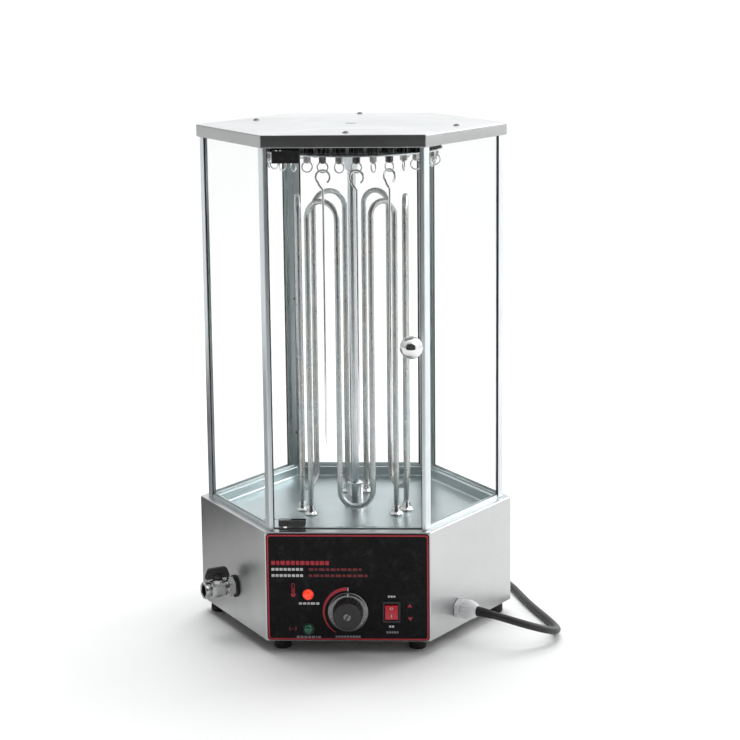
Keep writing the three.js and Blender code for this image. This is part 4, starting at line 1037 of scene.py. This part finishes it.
def posts():
    names = ("right", "rear_right", "rear_left", "left", "front_left", "front_right")
    cos30 = cos(radians(30))
    for k, name in enumerate(names):
        after = {1: REAR_FLANGE, 4: FRONT_FLANGE}.get(k, POST_FLANGE)
        before = {2: REAR_FLANGE, 5: FRONT_FLANGE}.get(k, POST_FLANGE)
        bm = bmesh.new()
        outer = [Vector(spoke(POST_BEND, a, POST_SIDE - POST_BEND / cos30, 0)) for a in (-30, -15, 0, 15, 30)]
        end_next = Vector((POST_SIDE - after / 2, after * SQRT3 / 2))
        end_before = Vector((POST_SIDE - before / 2, -before * SQRT3 / 2))
        in_next, in_before = Vector((-SQRT3 / 2, -0.5)) * POST_SHEET, Vector((-SQRT3 / 2, 0.5)) * POST_SHEET
        outline = [*outer, end_next, end_next + in_next, Vector((POST_SIDE - POST_SHEET / cos30, 0)),
                   end_before + in_before, end_before]
        low, high = BASE_TOP + GAP, COVER_BOTTOM - GAP
        loft(bm, [[Vector((p.x, p.y, z)) for p in outline] for z in (low, 230, 320, 410, 500, high)])
        finish(f"post_{name}", bm, STEEL_POST, stands_for=f"post_{name}", bevel=0.22,
               sharp=50, matrix=spun(60 * k))
    # Small screws through the rear posts' flanges, seen from inside and from behind.
    bm = bmesh.new()
    for post in (60, 120):
        for side in (-1, 1):
            for height in (190, 365, 540):
                spot = face_point(post + side * 30, POST_FLAT, -side * (90 - 6.2), height)
                turn = (Matrix.Translation(spot) @ spun(post + side * 30)
                        @ spun(90, "Y"))
                lathe(bm, [(0, -0.2), (2.6, -0.2), (2.6, 0.3), (2.0, 0.9), (1.0, 1.2), (0, 1.25)], 20,
                      matrix=turn)
                lathe(bm, [(0, -3.0), (1.5, -3.0), (1.5, -1.2), (0, -1.2)], 16, matrix=turn)
    finish("post_screws", bm, SCREW)


# Only the two clear faces of a pane are larger than this, in square millimetres.
FACE_AREA = 20000


def pane_mesh(bm, low, high):
    """A pane with ground edges: its two faces take the clear material and its rim the green one."""
    x0, y0, z0 = low
    x1, y1, z1 = high
    g = 0.5
    rings = []
    for x, inset in ((x0, g), (x0 + g, 0), (x1 - g, 0), (x1, g)):
        rings.append([Vector((x, y, z)) for y, z in ((y0 + inset, z0 + inset), (y1 - inset, z0 + inset),
                                                     (y1 - inset, z1 - inset), (y0 + inset, z1 - inset))])
    loft(bm, rings)
    for f in bm.faces:
        f.material_index = 0 if f.calc_area() > FACE_AREA else 1


def panes():
    for name, angle in PANE_ANGLES.items():
        outer = POST_FLAT - POST_SHEET - GAP
        bm = bmesh.new()
        pane_mesh(bm, (outer - 4, -83, BASE_TOP + 1.6), (outer, 83, COVER_BOTTOM - GAP))
        finish(f"glass_{name}", bm, [GLASS, GLASS_EDGE], stands_for=f"glass_{name}",
               matrix=spun(angle))


def gap_shade_strips():
    """Dark strips, in the rubber material, in the gap between each post and its pane, and beside the door:
    painted shade in these gaps.
    """
    bm = bmesh.new()
    low, high = BASE_TOP + 2, COVER_BOTTOM - 0.4
    for angle in (30, 90, 150, -150, -30):
        turn = spun(angle)
        inset = REAR_FLANGE if angle == 90 else POST_FLANGE
        for side in (-1, 1):
            ends = sorted((side * (90 - inset - 1.5), side * (90 - inset + 0.2)))
            block(bm, (POST_FLAT - 1.75, ends[0], low), (POST_FLAT - 0.6, ends[1], high), turn)
    for side in (-1, 1):
        ends = sorted((side * 84.9, side * 86.3))
        block(bm, (ends[0], -152.2, low), (ends[1], -149.2, high))
    finish("glazing_gap_shade", bm, RUBBER, bevel=0.15)


DOOR_GLASS = 5
DOOR_HALF, DOOR_LOW, DOOR_HIGH = 84.3, 150, 579.2
HINGE_X, HINGE_Y = -72, -(DOOR_FRONT - DOOR_GLASS / 2)
LOW_CLIP, HIGH_CLIP = (151.5, 158.3), (568.7, 582)
NOTCH_X = -65
BALL_X, BALL_HEIGHT = 75, 364.5
CLIP = (-79.5, -48.5, -160.2, -149)


def door():
    left, right, low, high = -DOOR_HALF, DOOR_HALF, DOOR_LOW, DOOR_HIGH
    front, back = DOOR_FRONT, DOOR_FRONT - DOOR_GLASS
    notch_low, notch_high = LOW_CLIP[1] + GAP, HIGH_CLIP[0] - GAP
    outline = [(left + 0.5, notch_low), (NOTCH_X, notch_low), (NOTCH_X, low), (right - 1, low),
               (right, low + 1), (right, high - 1), (right - 1, high), (NOTCH_X, high), (NOTCH_X, notch_high),
               (left + 0.5, notch_high), (left, notch_high - 0.5), (left, notch_low + 0.5)]
    hole = [spoke(4, 15 * i, BALL_X, BALL_HEIGHT) for i in range(24)]
    bm = bmesh.new()
    sheets = [fill(bm, upright(outline, depth), upright(hole, depth)) for depth in (front, back)]
    for front_loop, back_loop in zip(*sheets):
        ring_faces(bm, front_loop, back_loop, 1)
    finish("door_glass", bm, [GLASS, GLASS_EDGE], "door", "door_glass")

    for name, low, high in (("hinge_clip_bottom", *LOW_CLIP), ("hinge_clip_top", *HIGH_CLIP)):
        bm = bmesh.new()
        # Two cheeks and the bridge beyond the pane's notch, round the hinge pin.
        pin = [spoke(2.8, 22.5 * i, HINGE_X, HINGE_Y) for i in range(16)]
        u_shape = [(CLIP[0] + 1, CLIP[2]), (CLIP[1] - 0.8, CLIP[2]), (CLIP[1], CLIP[2] + 0.8),
                   (CLIP[1], -front - GAP), (NOTCH_X - 0.4, -front - GAP), (NOTCH_X - 0.4, -back + GAP),
                   (CLIP[1], -back + GAP), (CLIP[1], CLIP[3] - 0.8), (CLIP[1] - 0.8, CLIP[3]),
                   (CLIP[0] + 1, CLIP[3]), (CLIP[0], CLIP[3] - 1), (CLIP[0], CLIP[2] + 1)]
        ends = [fill(bm, *([Vector((x, y, z)) for x, y in loop] for loop in (u_shape, pin))) for z in (low,
                                                                                                       high)]
        for low_loop, high_loop in zip(*ends):
            ring_faces(bm, low_loop, high_loop)
        finish(name, bm, HINGE, "door", name, bevel=0.25, sharp=50)
        bm = bmesh.new()
        for x in (-57, -69) if name.endswith("bottom") else (-56, -68):
            turn = on_front(x, 160.1, (low + high) / 2)
            lathe(bm, [(0, 0), (2.0, 0), (2.0, 0.25), (1.5, 0.5), (0, 0.55)], 20, matrix=turn)
        finish(name + "_screws", bm, HINGE, "door")

    bm = bmesh.new()
    block(bm, (CLIP[0], CLIP[2], BASE_TOP + 1.6), (CLIP[1], CLIP[3], 149))
    finish("hinge_plate_bottom", bm, HINGE, stands_for="hinge_plate_bottom", bevel=0.3)
    bm = bmesh.new()
    block(bm, (CLIP[0], -(POST_FLAT - 1), 583.2), (CLIP[1], CLIP[3], COVER_BOTTOM - GAP))
    finish("hinge_plate_top", bm, HINGE, stands_for="hinge_plate_top", bevel=0.3)
    bm = bmesh.new()
    for z0, z1, s0, s1 in ((149.0, 155.5, 148.9, 151.2), (577, 583.2, 582.3, 583.3)):
        move = at(HINGE_X, HINGE_Y, 0)
        lathe(bm, [(0, z0), (2.3, z0), (2.5, z0 + 0.3), (2.5, z1 - 0.3), (2.3, z1), (0, z1)], 28, matrix=move)
        lathe(bm, [(0, s0), (4, s0), (4, s1), (0, s1)], 28, matrix=move)
    finish("hinge_pins", bm, CHROME)

    # The ball knob and its stem, with the nut inside the glass.
    bm = bmesh.new()
    ball = [spoke(BALL_RADIUS, -64 + 154 * i / 28, 0, BALL_STAND_OFF) for i in range(28)]
    lathe(bm, [(0, -8.6), (6.2, -8.6), (6.5, -8.2), (6.5, -5.9), (6.2, -5.6), (3.6, -5.6), (3.6, 0),
               (8.6, 0), (9, 0.3), (9, 1.0), (8.6, 1.6), (7, 2.4), (5.9, 3.4), (5.5, 5), (5.3, 9), *ball,
               (0, BALL_STAND_OFF + BALL_RADIUS)], 64)
    finish("door_knob", bm, CHROME, "door", "door_knob",
           matrix=on_front(BALL_X, DOOR_FRONT + GAP, BALL_HEIGHT))


def cover():
    bm = bmesh.new()
    low, top = COVER_BOTTOM, COVER_TOP
    inner = COVER_SIDE - 1.4 / cos(radians(30))
    hex_body(bm, [
        (0, top, 0), (120, top, 1), (180, top, 1.4), (182.6, top, 1.6), (183.5, top - 0.3, 1.9),
        (183.9, top - 1.1, 2.1), (184, top - 2, 2.2), (184, low + 1.2, 2.2), (183.6, low + 0.3, 2),
        (182.8, low, 1.6), (inner - 14, low, 1), (inner - 14, low + 1.4, 1), (inner - 0.6, low + 1.4, 1),
        (inner, low + 2.2, 1), (inner, top - 2.2, 1), (inner - 0.8, top - 1.4, 1), (0, top - 1.4, 0),
    ])
    # The top takes the paler steel and the sides the darker copy, which is painted shade.
    for f in bm.faces:
        f.material_index = 1 if f.calc_center_median().z > top - 0.5 else 0
    finish("top_cover", bm, [STEEL_RIM_PAINTED_SHADE, STEEL_TOP], stands_for="top_cover")
    bm = bmesh.new()
    for x, y in ((-117.5, 54), (3.1, 144.6), (1.8, -134.4), (124.9, -44.6)):
        move = at(x, y, top)
        lathe(bm, [(0, -1), (3.9, -1), (3.9, 0.1), (3.5, 0.9), (2.4, 1.6), (0.9, 1.9), (0, 1.95)], 28,
              matrix=move)
        # Each slot is a near-black bar sunk in the head: painted shade in the slot.
        for turn in (20, 110):
            slot = move @ spun(turn)
            block(bm, (-2.0, -0.35, 1.2), (2.0, 0.35, 1.98), slot, material=1)
    finish("cover_screws", bm, [SCREW, HOLE_PAINTED_SHADE])
    # The small pressed mark at the middle, over the bearing's fixing.
    bm = bmesh.new()
    prism(bm, rounded(12, 4.2, 1.6, 5), top - 0.3, top + 0.25)
    finish("cover_centre_mark", bm, SCREW, bevel=0.1)


# ---------------------------------------------------------------- wheel, hangers and skewers
HANGER_COUNT = 32
GEAR_MODULE, PINION_TEETH, RING_TEETH = 1.5, 9, 124
HANGER_CIRCLE = GEAR_MODULE * (PINION_TEETH + RING_TEETH) / 2
FIRST_HANGER = 6.6
FITTED = (-2, 0, 2)
PHASES = (90, 78, 55)
PIN_TOP = 573
EYE_CENTRE, EYE_RADIUS, EYE_WIRE = 557.6, 6, 0.9
HOOK_WIRE, HOOK_RADIUS = 1.4, 8


def hanger_spot(index):
    return polar(HANGER_CIRCLE, FIRST_HANGER + index * 360 / HANGER_COUNT)


def gear_outline():
    root, tip = GEAR_MODULE * (PINION_TEETH - 2.5) / 2, GEAR_MODULE * (PINION_TEETH + 2) / 2
    flank = (root + tip) / 2 + 0.2
    points = []
    for i in range(PINION_TEETH):
        for share, radius in ((0.02, root), (0.13, flank), (0.24, tip), (0.46, tip), (0.57, flank),
                              (0.68, root)):
            points.append(spoke(radius, 360 * (i + share) / PINION_TEETH))
    return points


def pinion(bm, matrix, shrink=1.0):
    rings = []
    for size, z in ((0.94, 572.3), (1.0, 572.8), (1.0, 581.0), (0.94, 581.5)):
        rings.append([matrix @ Vector((x * size * shrink, y * size * shrink, z)) for x, y in gear_outline()])
    loft(bm, rings)


def eye_ring(bm, matrix):
    """The wire eye: a full ring, drawn in the local YZ plane."""
    line = [matrix @ p for p in arc((0, 0, EYE_CENTRE), EYE_RADIUS, 90, 450, 40, ((0, 1, 0), (0, 0, 1)))][:-1]
    sweep(bm, line, EYE_WIRE, 10, closed=True)


def wheel():
    bm = bmesh.new()
    lathe(bm, [(SHAFT_BORE, WHEEL_BOTTOM), (107.4, WHEEL_BOTTOM), (108, WHEEL_BOTTOM + 0.3), (108.1, 571),
               (108, WHEEL_TOP - 0.3), (107.4, WHEEL_TOP), (SHAFT_BORE, WHEEL_TOP)], 144,
          closed=True)
    finish("skewer_wheel", bm, STEEL_POST, "wheel", "skewer_wheel")
    nuts, gears, eyes = bmesh.new(), bmesh.new(), bmesh.new()
    draw = random.Random(7)
    for i in range(HANGER_COUNT):
        index = i - HANGER_COUNT if i > HANGER_COUNT // 2 else i
        phase = draw.uniform(0, 180)
        if index in FITTED:
            continue
        spot = hanger_spot(index)
        matrix = Matrix.Translation(spot) @ spun(phase)
        nut(nuts, matrix, 0.3, ((3.9, 563.3), (4.5, 563.8), (4.5, 569.2), (4.0, 569.8)))
        lathe(nuts, [(0, 561.6), (1.9, 561.6), (2.1, 562.2), (2.1, PIN_TOP), (0, PIN_TOP)], 14, matrix=matrix)
        pinion(gears, matrix, 0.9)
        eye_ring(eyes, matrix)
    finish("wheel_nuts", nuts, ZINC, "wheel")
    finish("wheel_pinions", gears, DARK_ZINC, "wheel")
    finish("wheel_eyes", eyes, CHROME, "wheel")


def hangers():
    for order, (index, phase) in enumerate(zip(FITTED, PHASES), 1):
        matrix = Matrix.Translation(hanger_spot(index)) @ spun(phase)
        body = f"hanger_{order}"
        bm = bmesh.new()
        pinion(bm, matrix)
        nut(bm, matrix, 0.3, ((4.0, 563), (4.6, 563.6), (4.6, 569.1), (4.1, 569.7)))
        lathe(bm, [(0, 561.8), (1.8, 561.8), (2, 562.3), (2, PIN_TOP), (0, PIN_TOP)], 18, matrix=matrix)
        finish(body, bm, DARK_ZINC, body, body)
        bm = bmesh.new()
        eye_ring(bm, matrix)
        finish(body + "_eye", bm, CHROME, body)

        # Skewer: an open hook bent from the wire, a straight shank and a ground point.
        middle = EYE_CENTRE - EYE_RADIUS + EYE_WIRE + HOOK_WIRE + 0.4 - HOOK_RADIUS
        hook = [Vector((0, HOOK_RADIUS * sin(a), middle + HOOK_RADIUS * cos(a)))
                for a in (radians(-140 + 275 * i / 40) for i in range(41))]
        neck = Vector((0, 0, middle - HOOK_RADIUS - 6))
        last = hook[-1]
        blend = [last.lerp(neck, t) + Vector((0, 0.9 * sin(pi * t), 0)) for t in (0.25, 0.5, 0.75)]
        line = [*hook, *blend, neck] + [Vector((0, 0, z)) for z in (500, 420, 340, 270, 246)]
        tip = [Vector((0, 0, z)) for z in (240, 236, 233, 232.2)]
        total = len(line) + len(tip) - 1

        def thickness(t, ends=len(tip), count=total):
            k = t * count - (count - ends)
            return HOOK_WIRE if k <= 0 else HOOK_WIRE * (0.92 - 0.88 * k / ends)

        bm = bmesh.new()
        sweep(bm, [matrix @ p for p in line + tip], thickness, 14)
        finish(f"skewer_{order}", bm, CHROME, f"skewer_{order}", f"skewer_{order}")


# ---------------------------------------------------------------- hidden works keep their CAD meshes
def dress_cad():
    for node, material in (("bottom_plate", ZINC), ("thermostat_body", ZINC), ("gearmotor", DARK_ZINC),
                           ("shaft_coupling", ZINC), ("top_bearing", ZINC), ("gear_ring", GEAR_RING)):
        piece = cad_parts[node]
        piece.data.materials.clear()
        piece.data.materials.append(material)
        weld = piece.modifiers.new("weld", "WELD")
        weld.merge_threshold = 0.00001
        round_off = piece.modifiers.new("round_off", "BEVEL")
        round_off.width = 0.0003
        round_off.segments = 2
        round_off.limit_method = "ANGLE"
        round_off.angle_limit = radians(40)
        normals = piece.modifiers.new("normals", "WEIGHTED_NORMAL")
        normals.keep_sharp = True


# ---------------------------------------------------------------- floor and light
def studio():
    s = Surface("studio_floor", Roughness=0.6, Specular_IOR_Level=0.2)
    s.colour(s.ramp(s.noise(3, 4), (0.3, (0.90, 0.90, 0.90)), (0.7, (0.93, 0.93, 0.93))))
    bm = bmesh.new()
    loft(bm, [circle(r, z, 96) for r, z in ((60000, -30), (60000, -1), (59990, 0), (3000, 0), (900, 0),
                                            (300, 0))])
    bmesh.ops.transform(bm, matrix=ROW, verts=bm.verts)
    mesh = bpy.data.meshes.new("floor")
    bm.to_mesh(mesh)
    bm.free()
    mesh.materials.append(s.material)
    floor = bpy.data.objects.new("floor", mesh)
    bpy.context.scene.collection.objects.link(floor)

    world = bpy.data.worlds.new("studio")
    bpy.context.scene.world = world
    world.use_nodes = True
    nodes, links = world.node_tree.nodes, world.node_tree.links
    coordinate = nodes.new("ShaderNodeTexCoord")
    background = nodes["Background"]

    def toward(direction, low, high, to_low, to_high):
        dot = nodes.new("ShaderNodeVectorMath")
        dot.operation = "DOT_PRODUCT"
        links.new(coordinate.outputs["Generated"], dot.inputs[0])
        dot.inputs[1].default_value = Vector(direction).normalized()
        span = nodes.new("ShaderNodeMapRange")
        span.interpolation_type = "SMOOTHSTEP"
        links.new(dot.outputs["Value"], span.inputs["Value"])
        for name, value in (("From Min", low), ("From Max", high), ("To Min", to_low), ("To Max", to_high)):
            span.inputs[name].default_value = value
        return span.outputs["Result"]

    def combine(operation, a, b):
        node = nodes.new("ShaderNodeMath")
        node.operation = operation
        links.new(a, node.inputs[0])
        links.new(b, node.inputs[1])
        return node.outputs["Value"]

    level = combine("MULTIPLY", toward((0.85, 0.45, 0.1), -0.9, 0.7, 0.60, 1.15),
                    toward((-0.1, -1.0, 0.05), 0.35, 0.85, 1.0, 0.30))
    level = combine("MULTIPLY", level, toward((0, 0, 1), -0.2, 0.9, 0.95, 1.3))
    # The sky fills the shadows less than it shows in the metal, so that the object sits in a soft shadow.
    ray = nodes.new("ShaderNodeLightPath")
    fill = nodes.new("ShaderNodeMapRange")
    links.new(ray.outputs["Is Diffuse Ray"], fill.inputs["Value"])
    fill.inputs["To Min"].default_value = 1.0
    fill.inputs["To Max"].default_value = 0.32
    level = combine("MULTIPLY", level, fill.outputs["Result"])
    # Behind everything the camera sees an even white, so the floor has no horizon.
    level = combine("MAXIMUM", level, ray.outputs["Is Camera Ray"])
    links.new(level, background.inputs["Strength"])
    background.inputs["Color"].default_value = (0.985, 0.995, 1.0, 1)

    for name, kind, where, size, power in (
            ("overhead", "SUN", (-0.15, 1.05, 2.5), radians(58), 2.65),
            ("key", "AREA", (1.5, -1.6, 2.4), 1.6, 12),
            ("rim", "AREA", (1.9, 1.6, 1.2), 1.4, 24)):
        data = bpy.data.lights.new(name, kind)
        data.energy = power
        if kind == "SUN":
            data.angle = size
        else:
            data.shape = "DISK"
            data.size = size
        lamp = bpy.data.objects.new(name, data)
        lamp.location = where
        lamp.rotation_euler = (Vector((0, 0, 0.3)) - Vector(where)).to_track_quat("-Z", "Y").to_euler()
        lamp.visible_glossy = kind == "AREA"
        bpy.context.scene.collection.objects.link(lamp)

    # Studio cards beside the object give the walls and the ball knob something to mirror.
    black = moulded("card_black", (0.02, 0.02, 0.02), (0.8, 0.9)).material
    mid_grey = moulded("card_grey", (0.43, 0.43, 0.42), (0.8, 0.9)).material
    white = moulded("card_white", (0.9, 0.9, 0.9), (0.8, 0.9)).material
    for name, low, high, turn, material in (
            ("front_card", (-900, -1010, 120), (900, -1000, 1300), 0, black),
            ("left_card", (-520, -250, 2), (-510, 330, 240), -33, black),
            ("left_floor_card", (-700, -240, 0.5), (-176, 200, 1.5), -30, mid_grey),
            ("right_floor_card", (176, -140, 0.5), (900, 140, 1.5), 30, white)):
        bm = bmesh.new()
        block(bm, low, high, spun(turn))
        bmesh.ops.transform(bm, matrix=ROW, verts=bm.verts)
        mesh = bpy.data.meshes.new(name)
        bm.to_mesh(mesh)
        bm.free()
        mesh.materials.append(material)
        card = bpy.data.objects.new(name, mesh)
        for ray in ("camera", "diffuse", "transmission", "shadow"):
            setattr(card, "visible_" + ray, False)
        bpy.context.scene.collection.objects.link(card)
    bpy.context.scene.view_settings.view_transform = "Standard"


base()
tray()
panel()
dial()
switch()
tap()
mains_lead()
heaters()
drive()
posts()
panes()
gap_shade_strips()
door()
cover()
wheel()
hangers()
dress_cad()
studio()
